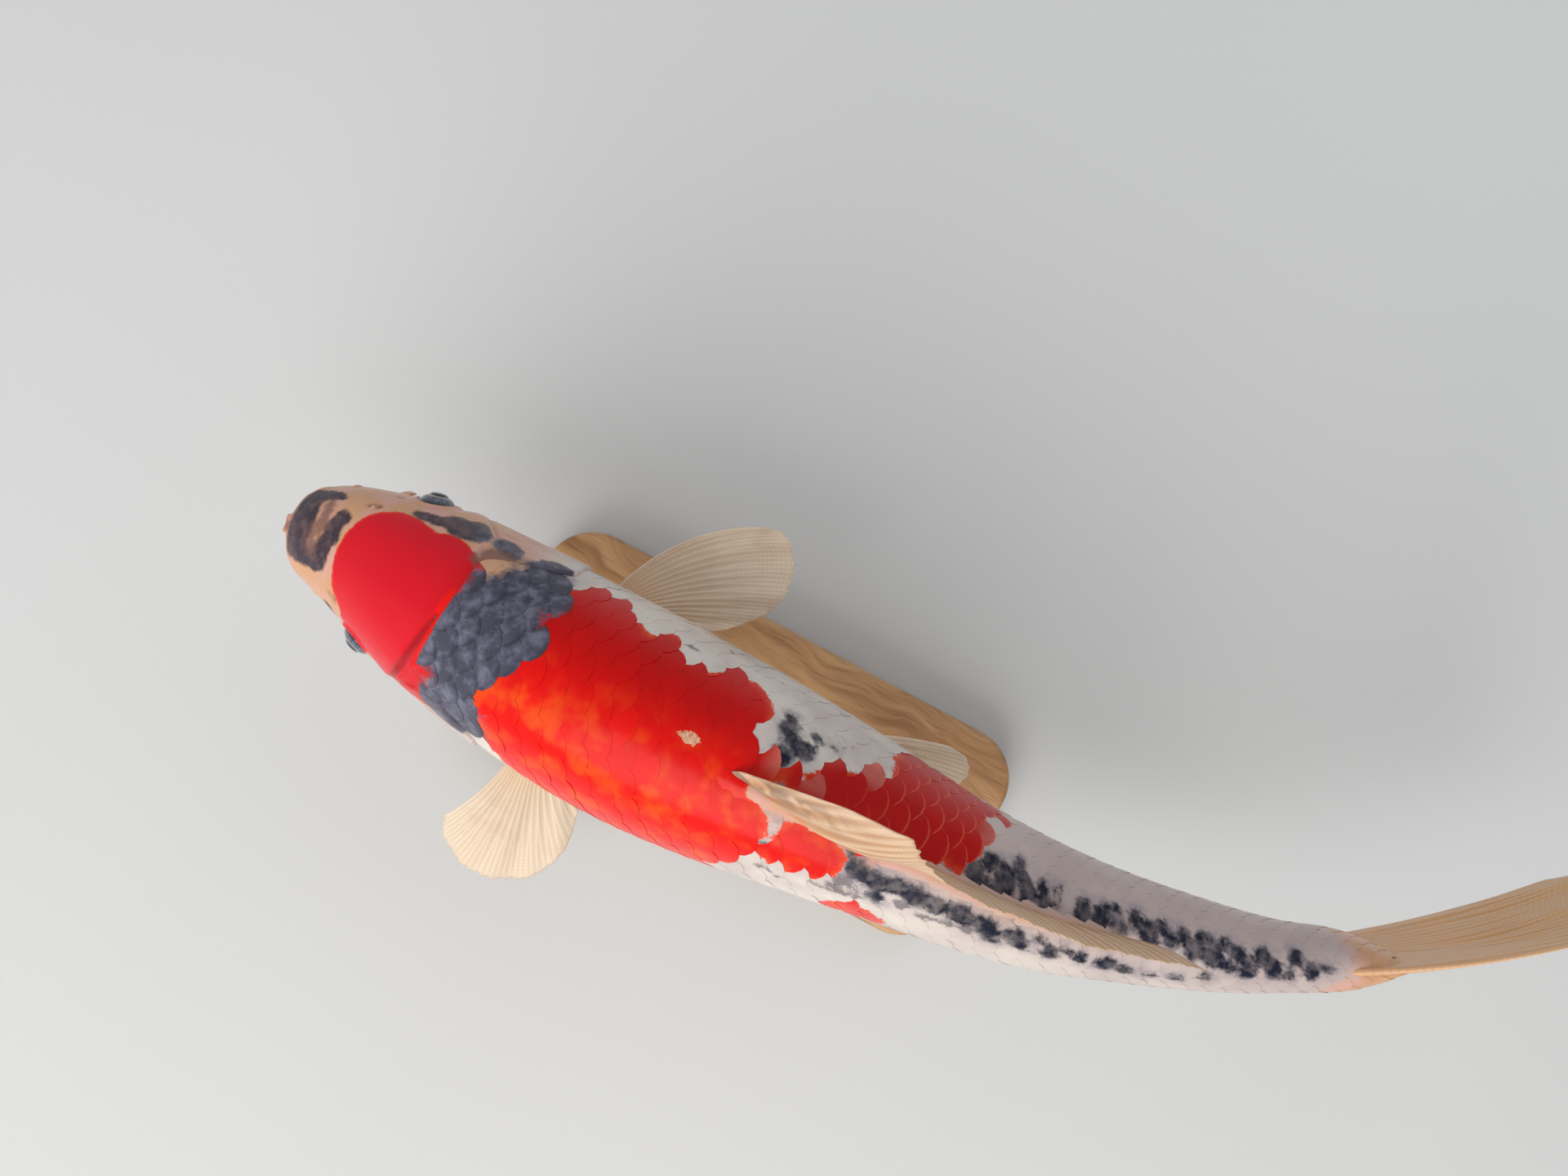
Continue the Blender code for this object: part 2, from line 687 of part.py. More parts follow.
def build_head(clearance):
    """Head, jaw, lips, eyes, gill covers and barbels."""
    head = head_skin("head", finish("head", SKIN_RED, 0.35))
    jaw = head_skin("lower_jaw", finish("lower_jaw", SKIN_TAN, 0.40))
    combine(head, jaw_block("jaw_space", -GAP))
    combine(jaw, jaw_block("jaw_shape", 0.0), 'INTERSECT')
    lip("lip_upper", 1.0, finish("lip_upper", SKIN_TAN, 0.40), (head, jaw))
    lip("lip_lower", -1.0, finish("lip_lower", SKIN_TAN, 0.40), (head, jaw))
    for side, word in ((1.0, "right"), (-1.0, "left")):
        colour = SKIN_TAN if side > 0 else SKIN_RED
        gill_cover("gill_cover_" + word, side, finish("gill_cover_" + word, colour, 0.35), head)
        eye("eye_" + word, side, finish("eye_" + word, EYE_DARK, 0.08), head)
        nostril = ball("nostril_" + word, body_point(0.066, side * 46.0), 0.0015, None, 8, 6)
        combine(head, as_cutter(nostril))
        for kind, station, height, length, radius in (
                ("front", 0.034, -0.014, 0.0075, 0.0009),
                ("corner", 0.064, -0.040, 0.0120, 0.0012)):
            name = "barbel_" + kind + "_" + word
            barbel(name, side, station, height, length, radius, finish(name, SKIN_TAN, 0.45), clearance)


def build_body():
    """The trunk and the tail stalk."""
    trunk_front(finish("trunk_front", SKIN_PALE, 0.30))
    body_length("trunk_rear", rear_stations(SEAM / 2), finish("trunk_rear", SKIN_PALE, 0.30))
    body_length("tail_stalk", stalk_stations(SEAM / 2), finish("tail_stalk", SKIN_PINK, 0.30))


def build_fins(clearance):
    """Every fin."""
    dorsal_fin(finish("dorsal_fin", FIN_TAN, 0.40), clearance)
    anal_fin(finish("anal_fin", FIN_TAN, 0.40), clearance)
    for word, side in (("upper", 1.0), ("lower", -1.0)):
        name = "caudal_fin_" + word
        tail_lobe(name, side, finish(name, FIN_TAN, 0.40))
    pectoral_fins(finish("pectoral_fin_right", FIN_TAN, 0.40),
                  finish("pectoral_fin_left", FIN_TAN, 0.40), clearance)
    pelvic_fins(finish("pelvic_fin_right", FIN_TAN, 0.40),
                finish("pelvic_fin_left", FIN_TAN, 0.40), clearance)


def build_stand(clearance):
    """The display stand."""
    stand_base(finish("stand_base", STAND_WOOD, 0.50))
    for word, station in zip(("front", "rear"), ROD_STATIONS):
        name = "stand_rod_" + word
        stand_rod(name, station, finish(name, STAND_STEEL, 0.30, 1.0), clearance)


def build():
    """Make the whole model."""
    clear_scene()
    reach = [SNOUT + 0.002, SNOUT + 0.011, SNOUT + 0.024] + evenly(0.04, 0.28, 9)
    reach += shoulder_stations(0.0) + rear_stations(0.0)[1:] + stalk_stations(0.0)[1:]
    clearance = as_cutter(body_length("body_clearance", reach, None, GAP))
    build_head(clearance)
    build_body()
    build_fins(clearance)
    build_stand(clearance)


build()
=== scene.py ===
"""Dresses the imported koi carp: one skin, solid scales, rayed fins, wet eyes and the stand.

The head points along -X, the fish's right side is +Y and +Z is up.  Lengths in the body
tables are fractions of the standard length.  Markings are laid out in millimetres: along
from the snout, and around from the middle of the back, with the fish's right side positive.
"""

import json
import math

import bmesh
import bpy
import numpy as np
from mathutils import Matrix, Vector

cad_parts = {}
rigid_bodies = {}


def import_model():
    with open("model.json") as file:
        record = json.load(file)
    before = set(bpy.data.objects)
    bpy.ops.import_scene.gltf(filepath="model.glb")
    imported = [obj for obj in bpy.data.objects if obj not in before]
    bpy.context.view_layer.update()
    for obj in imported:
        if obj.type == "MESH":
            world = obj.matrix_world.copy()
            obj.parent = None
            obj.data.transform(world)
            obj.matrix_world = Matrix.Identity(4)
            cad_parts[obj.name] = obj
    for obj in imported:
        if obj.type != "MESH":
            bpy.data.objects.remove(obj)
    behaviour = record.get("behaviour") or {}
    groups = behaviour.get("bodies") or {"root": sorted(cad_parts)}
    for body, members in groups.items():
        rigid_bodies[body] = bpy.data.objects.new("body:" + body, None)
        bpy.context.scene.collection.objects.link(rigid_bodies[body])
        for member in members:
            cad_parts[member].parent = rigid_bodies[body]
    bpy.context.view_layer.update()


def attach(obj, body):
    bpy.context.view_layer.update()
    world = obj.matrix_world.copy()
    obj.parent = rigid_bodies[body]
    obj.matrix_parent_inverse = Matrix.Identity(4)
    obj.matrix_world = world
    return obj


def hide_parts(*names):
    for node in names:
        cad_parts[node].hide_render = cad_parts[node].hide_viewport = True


# ---- sizes shared with the solids ------------------------------------------------------

STANDARD_LENGTH = 0.372
AXIS_HEIGHT = 0.112
ANCHOR_STATION = 0.35
ANCHOR_X = -0.0343
ANCHOR_Y = -0.0036
SECTION_POWER = 2.2
SNOUT = -0.008
BODY_END = 1.046

# station, level of the widest line, back, belly, half width
PROFILE = np.array((
    (-0.008, -0.030, -0.022, -0.038, 0.008),
    (-0.004, -0.030, -0.015, -0.045, 0.021),
    (0.004, -0.030, -0.006, -0.052, 0.033),
    (0.020, -0.028, 0.007, -0.060, 0.043),
    (0.045, -0.024, 0.025, -0.069, 0.053),
    (0.075, -0.018, 0.045, -0.077, 0.062),
    (0.100, -0.013, 0.061, -0.084, 0.069),
    (0.140, -0.008, 0.083, -0.094, 0.079),
    (0.190, -0.006, 0.107, -0.107, 0.084),
    (0.250, -0.004, 0.129, -0.121, 0.089),
    (0.350, 0.000, 0.150, -0.137, 0.092),
    (0.430, 0.000, 0.155, -0.141, 0.088),
    (0.520, 0.000, 0.147, -0.138, 0.079),
    (0.620, 0.000, 0.126, -0.122, 0.067),
    (0.720, 0.000, 0.102, -0.098, 0.056),
    (0.800, 0.000, 0.083, -0.078, 0.046),
    (0.880, 0.000, 0.069, -0.064, 0.037),
    (0.940, 0.000, 0.063, -0.060, 0.029),
    (1.000, 0.000, 0.062, -0.062, 0.021),
    (1.020, 0.000, 0.061, -0.062, 0.013),
    (1.034, 0.000, 0.059, -0.060, 0.006),
    (1.046, 0.000, 0.058, -0.059, 0.0012),
))

# Bumps are a station, a width and degrees; turns are a first and a last station and degrees.
SPINE_BUMPS = ((0.0, 0.06, 11.0), (0.19, 0.115, -4.4), (0.453, 0.138, 2.8))
SPINE_TURNS = ((0.573, 0.841, 15.1), (0.807, 1.226, 31.6))

NAPE_STATION = 0.166
GILL_STATION = 0.240
ISTHMUS_STATION = 0.170

EYE_STATION = 0.100
EYE_ANGLE = 80.0
EYE_RADIUS = 0.0074
EYE_PROUD = 0.0034

MOUTH_FRONT_LEVEL = -0.033
MOUTH_CORNER_LEVEL = -0.052
MOUTH_CORNER_STATION = 0.056

DORSAL_START = 0.428
DORSAL_END = 0.765
ANAL_START = 0.768
ANAL_END = 0.835
TAIL_ROOT = 1.0312
TAIL_SPREAD_UPPER = 0.106
TAIL_SPREAD_LOWER = 0.112

BASE_LENGTH = 0.200
BASE_WIDTH = 0.086
BASE_HEIGHT = 0.012
BASE_CORNER = 0.020
ROD_RADIUS = 0.004
ROD_FOOT_RADIUS = 0.010
ROD_FOOT_HEIGHT = 0.003
ROD_STATIONS = (0.31, 0.54)

# ---- sizes of the dressing ------------------------------------------------------------

MILLIMETRES = 1000.0
SEED = 7

# The skin sinks by the coat's depth where scales lie on it.
COAT_DEPTH = 0.0006
HEAD_ROWS = 158
BODY_ROWS = 88
AROUND = 320
MAP_HALF_GIRTH = 0.143

SCALE_THICKNESS = 0.00010
SCALE_TIP_RISE = 0.00046
SCALE_ROOT_RISE = 0.00003
SCALE_DOME = 0.00007
# A scale's length in pitches, and its half width in row spacings.
SCALE_OVERLAP_ALONG = 1.78
SCALE_OVERLAP_ACROSS = 1.13
FRONT_PITCH = 0.0078
REAR_PITCH = 0.0060
# Rows from the middle of the flank to the back.
LATERAL_ROWS_FRONT = 8.0
LATERAL_ROWS_REAR = 6.0
LAST_SCALE = 1.034
SCALE_MAP_PATCH = 0.0034

FIN_ROOT_DEPTH = 0.004
PAIRED_ROOT_DEPTH = 0.005
FEELER_STEPS = 40
FEELER_SIDES = 16
FEELER_BLUNTNESS = 10.0
FEELER_WELD = 0.000002

# Distances to the markings are kept between these, in millimetres.
FAR_OUTSIDE = 60.0
DEEP_INSIDE = -40.0

FLOOR_REACH = 3
FLOOR_LEVEL = -0.0004
CAMERA_PLACE = (-0.0219, 0.0439, 0.6171)
CAMERA_TURN = (0.684, -1.207, 28.056)
CAMERA_LENS = 36.0
CAMERA_SENSOR = 36.0


def clear_scene():
    """Remove whatever the scene holds."""
    for item in list(bpy.data.objects):
        bpy.data.objects.remove(item, do_unlink=True)


clear_scene()
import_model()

# ---- the body as a surface --------------------------------------------------------------


def smooth_step(low, high, value):
    """Rise smoothly from 0 at low to 1 at high."""
    ramp = np.clip((np.asarray(value, float) - low) / (high - low), 0.0, 1.0)
    return ramp * ramp * (3.0 - 2.0 * ramp)


def bell(value, width):
    """A smooth hump of height 1 at 0."""
    return np.exp(-(np.asarray(value) / width) ** 2)


def through(rows, column, value):
    """Read a smooth curve through one column of a table."""
    rows = np.asarray(rows, float)
    value = np.asarray(value, float)
    knots = rows[:, 0]
    heights = rows[:, column]
    slopes = np.gradient(heights, knots)
    place = np.clip(np.searchsorted(knots, value) - 1, 0, len(knots) - 2)
    span = knots[place + 1] - knots[place]
    part = np.clip((value - knots[place]) / span, 0.0, 1.0)
    start = heights[place] * (1 + 2 * part) * (1 - part) ** 2
    end = heights[place + 1] * part ** 2 * (3 - 2 * part)
    lift = slopes[place] * part * (1 - part) ** 2
    fall = slopes[place + 1] * part ** 2 * (part - 1)
    return start + end + span * (lift + fall)


def trace_spine():
    """Follow the headings from the snout to beyond the tail."""
    stations = np.linspace(-0.02, 1.38, 701)
    headings = np.zeros_like(stations)
    for centre, width, turn in SPINE_BUMPS:
        headings += turn * bell(stations - centre, width)
    for start, end, turn in SPINE_TURNS:
        headings += turn * smooth_step(start, end, stations)
    headings = np.radians(headings)
    middle = 0.5 * (headings[1:] + headings[:-1])
    step = (stations[1] - stations[0]) * STANDARD_LENGTH
    along = np.concatenate(([0.0], np.cumsum(np.cos(middle)) * step))
    across = np.concatenate(([0.0], np.cumsum(np.sin(middle)) * step))
    along += ANCHOR_X - np.interp(ANCHOR_STATION, stations, along)
    across += ANCHOR_Y - np.interp(ANCHOR_STATION, stations, across)
    return stations, along, across, headings


SPINE = trace_spine()


def beside_spine(station, side, level):
    """Points beside and above the spine; side and level are in metres."""
    station, side, level = np.broadcast_arrays(station, side, level)
    x = np.interp(station, SPINE[0], SPINE[1])
    y = np.interp(station, SPINE[0], SPINE[2])
    heading = np.interp(station, SPINE[0], SPINE[3])
    return np.stack((x - np.sin(heading) * side, y + np.cos(heading) * side, AXIS_HEIGHT + level), axis=-1)


def spine_direction(station):
    """Unit vectors towards the tail."""
    heading = np.interp(station, SPINE[0], SPINE[3])
    return np.stack((np.cos(heading), np.sin(heading), np.zeros_like(heading)), axis=-1)


def section_size(station):
    """Level, height above it, depth below it and half width, in metres."""
    level, back, belly, half = (through(PROFILE, column, station) for column in (1, 2, 3, 4))
    return tuple(STANDARD_LENGTH * size for size in (level, back - level, level - belly, half))


def body_point(station, angle, proud=0.0):
    """Points on the skin; angle 0 is the back, 90 the right side, 180 the belly."""
    station, angle = np.broadcast_arrays(np.asarray(station, float), np.asarray(angle, float))
    level, above, below, half = section_size(station)
    turn = np.radians(angle)
    height = np.where(np.cos(turn) >= 0, above, below)
    wide = (np.abs(np.sin(turn)) / half) ** SECTION_POWER
    tall = (np.abs(np.cos(turn)) / height) ** SECTION_POWER
    reach = (wide + tall) ** (-1.0 / SECTION_POWER) + proud
    return beside_spine(station, reach * np.sin(turn), level + reach * np.cos(turn))


def side_point(station, height, side, proud=0.0):
    """Points on the skin at a height above the axis, as a fraction; side is 1 or -1."""
    level, above, below, half = section_size(station)
    rise = height * STANDARD_LENGTH - level
    share = np.minimum(np.abs(rise) / np.where(rise > 0, above, below), 1.0)
    reach = half * (1.0 - share ** SECTION_POWER) ** (1.0 / SECTION_POWER)
    return beside_spine(station, side * (reach + proud), level + rise)


def unit(vectors):
    """Vectors scaled to length 1."""
    return vectors / np.maximum(np.linalg.norm(vectors, axis=-1, keepdims=True), 1e-12)


def body_normal(station, angle):
    """Unit vectors straight out of the skin."""
    along = body_point(station + 0.003, angle) - body_point(station - 0.003, angle)
    around = body_point(station, angle + 1.5) - body_point(station, angle - 1.5)
    return unit(np.cross(along, around))


def parting_station(angle):
    """Where the head ends and the trunk begins, round the body."""
    turned = np.abs((angle + 180.0) % 360.0 - 180.0)
    sweep = smooth_step(30.0, 54.0, turned)
    throat = smooth_step(118.0, 172.0, turned)
    side = NAPE_STATION + (GILL_STATION - NAPE_STATION) * sweep
    return side + (ISTHMUS_STATION - GILL_STATION) * throat


GIRTH_STATIONS = np.linspace(SNOUT, BODY_END, 270)
GIRTH_ANGLES = np.linspace(0.0, 180.0, 361)


def girth_tables():
    """Length round the body from the back to each angle, and the angle at each share of it."""
    ring = body_point(GIRTH_STATIONS[:, None], GIRTH_ANGLES[None, :])
    steps = np.linalg.norm(np.diff(ring, axis=1), axis=-1)
    around = np.concatenate((np.zeros((len(ring), 1)), np.cumsum(steps, axis=1)), axis=1)
    shares = np.linspace(0.0, 1.0, 181)
    angles = np.array([np.interp(shares * row[-1], row, GIRTH_ANGLES) for row in around])
    return around, angles


AROUND_TABLE, ANGLE_TABLE = girth_tables()


def read_table(table, station, share):
    """Read between the entries of a table; share runs from 0 to 1 along its columns."""
    row = (station - SNOUT) / (BODY_END - SNOUT) * (table.shape[0] - 1)
    row = np.clip(row, 0.0, table.shape[0] - 1.001)
    column = np.clip(share, 0.0, 1.0) * (table.shape[1] - 1)
    column = np.clip(column, 0.0, table.shape[1] - 1.001)
    i = row.astype(int)
    j = column.astype(int)
    u = row - i
    v = column - j
    near = table[i, j] * (1 - v) + table[i, j + 1] * v
    far = table[i + 1, j] * (1 - v) + table[i + 1, j + 1] * v
    return near * (1 - u) + far * u


def half_girth(station):
    """Length from the back to the belly over one side."""
    return np.interp(station, GIRTH_STATIONS, AROUND_TABLE[:, -1])


def angle_at(station, around):
    """Angle round the body at a signed length round it from the middle of the back."""
    station, around = np.broadcast_arrays(np.asarray(station, float), np.asarray(around, float))
    share = np.abs(around) / half_girth(station)
    turned = read_table(ANGLE_TABLE, station, np.where(share > 1.0, 2.0 - share, share))
    return np.where(share > 1.0, 360.0 - turned, turned) * np.sign(around)


def around_at(station, angle):
    """Signed length round the body from the middle of the back to an angle."""
    turned = (np.asarray(angle) + 180.0) % 360.0 - 180.0
    return read_table(AROUND_TABLE, station, np.abs(turned) / 180.0) * np.sign(turned)


# ---- markings ---------------------------------------------------------------------------

# Each row is one rounded blot: along, around, half length, half width, turn in degrees.
RED_BLOTS = (
    # crown
    (39, -1, 19.5, 22, 0), (52, 11, 10, 11.5, 0), (55, 17, 6, 6, 0), (43, -20, 14, 17, 0),
    (51, -30, 8, 10, 0), (54, -6, 13, 17, 0), (60, -20, 9, 14, 0), (62, -28, 9, 12.5, 0),
    (58, 8, 9, 13, 0), (68, -28, 8, 11, 0),
    # saddle
    (108, 2, 20, 40, 0), (105, 36, 9, 11, 0), (125, 3, 20, 33, 0), (150, 20, 15, 19, 0),
    (140, -2, 26, 24, 0), (165, -10, 12, 8, 0), (150, -25, 22, 22, 0), (150, -42, 18, 26, 0),
    (123, -34, 26, 28, 0), (130, -48, 26, 18, 0), (99, -22, 10, 17, 0), (168, -16, 7, 9, 0),
    (158, 8, 11.5, 9, 0), (91, -15, 8, 11, 0), (94, 12, 7, 13, 0),
    # small patch beside the fin
    (186, -11, 7, 7.5, 0), (195, -11, 8, 8, 0),
    # rear right patch
    (186, 12, 10, 5.5, 20), (198, 12, 13, 10.5, 0), (212, 12, 18, 12.5, 0), (232, 13, 9, 9, 0),
    (218, 30, 15, 18, 0), (222, 46, 17, 13, -15), (236, 42, 14, 8, -25),
    (231, 24, 10, 8, 0), (233, 34, 9, 10, 0),
    # round patch low on the left
    (211, -34, 10.5, 9, 0),
)
BLACK_BLOTS = (
    # band behind the crown
    (78, 4, 16, 13, 0), (74, -10, 12.5, 12, 0), (79, -27, 12.5, 13, 0), (86, -31, 8, 6, 0),
    (76, 13, 12.5, 9, 0), (83, 27, 9.5, 11.5, 0), (85, 36, 7, 6, 0), (75, 22, 6, 7, 0),
    # snout bars
    (2, 0, 5.4, 10, 0), (2.5, 8, 5.2, 7.5, 0), (8, 14.5, 6.5, 2.8, 8), (6, -7.5, 5.5, 3.8, 0),
    (12, -9, 5.2, 3, 0), (16.5, 8, 3.0, 3.2, 0), (15, 2, 3.3, 5.5, 0), (13.5, -4, 3.6, 5, 0),
    # behind the right eye
    (42, 24.5, 7.5, 2.8, 18), (51, 28, 8, 5.5, 14), (55.5, 31, 5, 6, 10), (67, 32, 5.6, 4.6, 0),
    # left cheek, and along the left of the crown
    (71, -45.5, 4, 2.2, 10),
    (23, -25, 4, 1.3, -45), (29, -33, 5, 1.3, -40),
)
STRIPE_BLOTS = ((10.4, 6, 2.2, 7, 0), (8.5, -2, 2.3, 6, 8), (68, 22.5, 8.5, 7, 20))
FOLD_BLOTS = ((60.2, -7, 0.8, 6, -6), (59.1, -15, 1.0, 7, -7), (57.9, -24, 1.2, 7, -9),
              (56, -34, 1.1, 8, -10))
BRIGHT_BLOTS = ((61.5, -1, 1.8, 9, 0), (62.5, -14, 1.2, 8, 0))
# middle of the scuffed scale: along, around
SCUFF = (145, 6)
SPECK_BLOTS = (
    (134, 39, 3.6, 1.8, 30), (129, 42, 2.0, 1.2, 0), (141, 70, 2.6, 1.6, 20), (151, 60, 2.6, 1.3, 20),
    (154, 47, 2.4, 1.2, 20), (163, 49, 3.0, 1.4, 20), (146, 54, 2.6, 1.4, 20), (170, 52, 2.4, 1.2, 0),
    (186, 26, 2.0, 1.3, 0), (190, 30, 1.6, 1.1, 0), (189, 21, 2.0, 1.2, 0), (184, 33, 1.8, 1.0, 0),
    (180, -24, 3.0, 2.0, 0), (186, -27, 2.0, 1.4, 0), (196, -22, 2.6, 1.8, 0), (205, -20, 3.0, 2.0, 0),
    (172, -28, 2.0, 1.4, 0), (270, 15, 1.3, 1.4, 0), (262, 16, 1.2, 1.6, 0), (28, 27, 2.0, 0.9, 40),
    (237, -13, 3.4, 2.0, 0), (244, -12.5, 3.2, 2.0, 0), (223, -14, 3.4, 2.2, 0), (203, -14, 3.6, 3.0, 0),
    (201, -20, 3.0, 2.6, 0), (231, -15, 3.0, 2.0, 0), (209, -19, 3.2, 2.2, 0),
)
SPOT_BLOTS = (
    # right of the back fin
    (238, 6, 4, 4.5, 0), (242, 11, 4, 4, 0), (248, 6, 4, 7.5, 10), (244, 2, 3.5, 3, 0), (251, 13, 3, 5, 0),
    (256, 5, 2.8, 8.5, 8), (260, 9, 2.6, 4, 0), (263, 4, 2.8, 3.5, 0),
    (266, 8, 1.8, 5, 0), (275, 6, 3.2, 5, 0),
    (282, 6, 3.2, 5.5, 0), (286, 9, 1.3, 3, 0), (289, 4, 2.4, 2, 0), (293, 8, 2.8, 4, 0), (298, 4, 3.6, 5, 0),
    (302, 7, 2.6, 3, 0), (305, 3, 3.2, 3, 0), (309, 6, 2.8, 3, 0),
    (313, 2, 3.6, 3.5, 0), (316, 6, 3.4, 2.6, 0),
    (320, 1, 3.6, 4, 0), (323, 5.5, 3, 3, 0), (326, -1, 3.4, 3, 0), (328, 3, 3.2, 3, 0), (332, -1, 3.6, 4, 0),
    (336, 3, 3.6, 4, 0), (227, 2, 5, 1.6, 0),
    # on the tail stalk
    (340, 0, 3.4, 4, 0), (345, -2, 2.6, 2.5, 0), (347, 4, 2.6, 3.6, 0),
    (352, 0, 3, 3.2, 0), (357, 1, 2.6, 1.8, 0),
    # left of the back fin
    (203, -5, 3.6, 2, 0), (206, -9, 5, 4, 0), (213, -9.5, 5, 4.4, 0), (215, -16, 3.8, 2.6, 0),
    (219, -8, 3.4, 3.4, 0), (225, -8.5, 4.6, 4.0, 0),
    (232, -8.5, 4.2, 3.8, 0), (240, -8, 4.4, 4, 0), (248, -8, 4.4, 3.6, 0), (251, -12, 3.4, 2.6, 0),
    (257, -8, 4.4, 3.2, 0), (260, -11, 4, 2.6, 0), (265, -6, 2.6, 2, 0), (269, -10, 3.6, 3.4, 0),
    (273, -7, 2, 2, 0), (279, -9, 3.2, 2.8, 0), (287, -9, 3.8, 3.2, 0), (294, -10, 3.8, 2.6, 0),
    (302, -10, 3.4, 1.6, 0), (310, -9, 3.6, 2, 0), (319, -7, 3, 2.6, 0),
    # beside the saddle
    (170, 23, 3.4, 4.4, 0), (171, 13, 4, 5, 0), (175, 7, 2.8, 3.4, 0), (176, 18, 4.6, 4, 0),
    (179, 25, 3, 2, 0), (170, 30, 2.2, 1.8, 0), (185, 24, 1.8, 1.2, 0), (177, -14, 2.2, 1.8, 0),
    (177, -6, 1.6, 1, 0),
)


def blot_distance(blots, along, around, blend=2.0):
    """Millimetres outside the joined blots, negative inside them."""
    total = np.full(np.shape(along), FAR_OUTSIDE)
    for x, y, half_x, half_y, turn in blots:
        cosine = math.cos(math.radians(turn))
        sine = math.sin(math.radians(turn))
        u = ((along - x) * cosine + (around - y) * sine) / half_x
        v = ((around - y) * cosine - (along - x) * sine) / half_y
        size = np.sqrt(u * u + v * v) + 1e-9
        stretch = np.sqrt((u / half_x) ** 2 + (v / half_y) ** 2) / size + 1e-9
        distance = np.clip((size - 1.0) / stretch, DEEP_INSIDE, FAR_OUTSIDE)
        mix = np.clip(0.5 + 0.5 * (total - distance) / blend, 0.0, 1.0)
        total = total * (1 - mix) + distance * mix - blend * mix * (1 - mix)
    return total


def markings(station, around):
    """Distances to red, black and spots; then distance to speckles, tan share and how low it lies."""
    x = station * STANDARD_LENGTH * MILLIMETRES
    y = around * MILLIMETRES
    red = blot_distance(RED_BLOTS, x, y)
    black = blot_distance(BLACK_BLOTS, x, y)
    spot = blot_distance(SPOT_BLOTS, x, y, 0.6) + 0.35
    speck = blot_distance(SPECK_BLOTS, x, y, 0.8)
    low = smooth_step(0.55, 0.95, np.abs(around) / half_girth(station))
    tan = (1.0 - smooth_step(62.0, 92.0, x)) * (1.0 - 0.45 * low)
    tail = smooth_step(358.0, 384.0, x + 1.2 * np.clip(-y, 0.0, 7.0))
    lobe = bell(y + 1.0, 5.5) * smooth_step(158.0, 166.0, x) * (1.0 - smooth_step(196.0, 222.0, x))
    ridge = bell(y, 3.6) * smooth_step(160.0, 175.0, x) * (1.0 - smooth_step(280.0, 292.0, x))
    tan = np.clip(tan + 1.3 * lobe + 0.8 * ridge, 0.0, 1.0) * (1.0 - tail) + 2.0 * tail
    return np.stack((red, black, spot), axis=-1), np.stack((speck, tan, low), axis=-1)


def crown_bars(station, around):
    """Distances to the brown bars, the fold behind the crown and the bright bars beside it."""
    x = station * STANDARD_LENGTH * MILLIMETRES
    y = around * MILLIMETRES
    kinds = (STRIPE_BLOTS, FOLD_BLOTS, BRIGHT_BLOTS)
    return np.stack([blot_distance(blots, x, y) for blots in kinds], axis=-1)


# ---- meshes -------------------------------------------------------------------------------


def mesh_object(name, points, faces, material):
    """One smooth-shaded mesh object from arrays of points and equal-sided faces."""
    mesh = bpy.data.meshes.new(name)
    faces = np.asarray(faces, np.int32)
    sides = faces.shape[1]
    mesh.vertices.add(len(points))
    mesh.vertices.foreach_set("co", np.asarray(points, np.float32).ravel())
    mesh.loops.add(faces.size)
    mesh.loops.foreach_set("vertex_index", faces.ravel())
    mesh.polygons.add(len(faces))
    mesh.polygons.foreach_set("loop_start", np.arange(0, faces.size, sides, dtype=np.int32))
    mesh.polygons.foreach_set("use_smooth", np.ones(len(faces), bool))
    mesh.update(calc_edges=True)
    mesh.validate()
    mesh.materials.append(material)
    return show(name, mesh)


def object_from(name, points, faces, material):
    """One smooth-shaded mesh object from points and faces of any number of sides."""
    mesh = bpy.data.meshes.new(name)
    mesh.from_pydata(np.asarray(points).tolist(), [], faces)
    mesh.polygons.foreach_set("use_smooth", np.ones(len(faces), bool))
    mesh.materials.append(material)
    return show(name, mesh)


def show(name, data):
    """Add an object for a mesh, a light or a camera."""
    item = bpy.data.objects.new(name, data)
    bpy.context.scene.collection.objects.link(item)
    return item


def corner_points(mesh):
    """Which point each corner of the faces stands on."""
    corner = np.zeros(len(mesh.loops), np.int32)
    mesh.loops.foreach_get("vertex_index", corner)
    return corner


def add_vectors(item, name, values):
    """Keep a vector for each point."""
    layer = item.data.attributes.new(name, 'FLOAT_VECTOR', 'POINT')
    layer.data.foreach_set("vector", np.asarray(values, np.float32).ravel())


def add_map(item, places):
    """A UV map for the corners of every face."""
    layer = item.data.uv_layers.new(name="OFBake")
    layer.uv.foreach_set("vector", np.asarray(places, np.float32).ravel())


def unwrap(station, around):
    """Place on the unwrapped skin, from 0 to 1 both ways."""
    u = 0.01 + 0.98 * (station - SNOUT) / (BODY_END - SNOUT)
    v = 0.5 + 0.49 * around / MAP_HALF_GIRTH
    return np.stack((np.clip(u, 0.0, 1.0), np.clip(v, 0.0, 1.0)), axis=-1)


def grid_normals(points):
    """Outward unit vectors on a grid of rings."""
    along = np.gradient(points, axis=0)
    around = np.roll(points, -1, axis=1) - np.roll(points, 1, axis=1)
    return unit(np.cross(along, around))


def grid_faces(rows, columns, wrap):
    """Four-sided faces between neighbouring rows of a grid."""
    i = np.arange(rows - 1)[:, None]
    j = np.arange(columns if wrap else columns - 1)[None, :]
    k = (j + 1) % columns
    a, b, c, d = (i * columns + j, i * columns + k, (i + 1) * columns + k, (i + 1) * columns + j)
    return np.stack(np.broadcast_arrays(a, b, c, d), axis=-1).reshape(-1, 4)


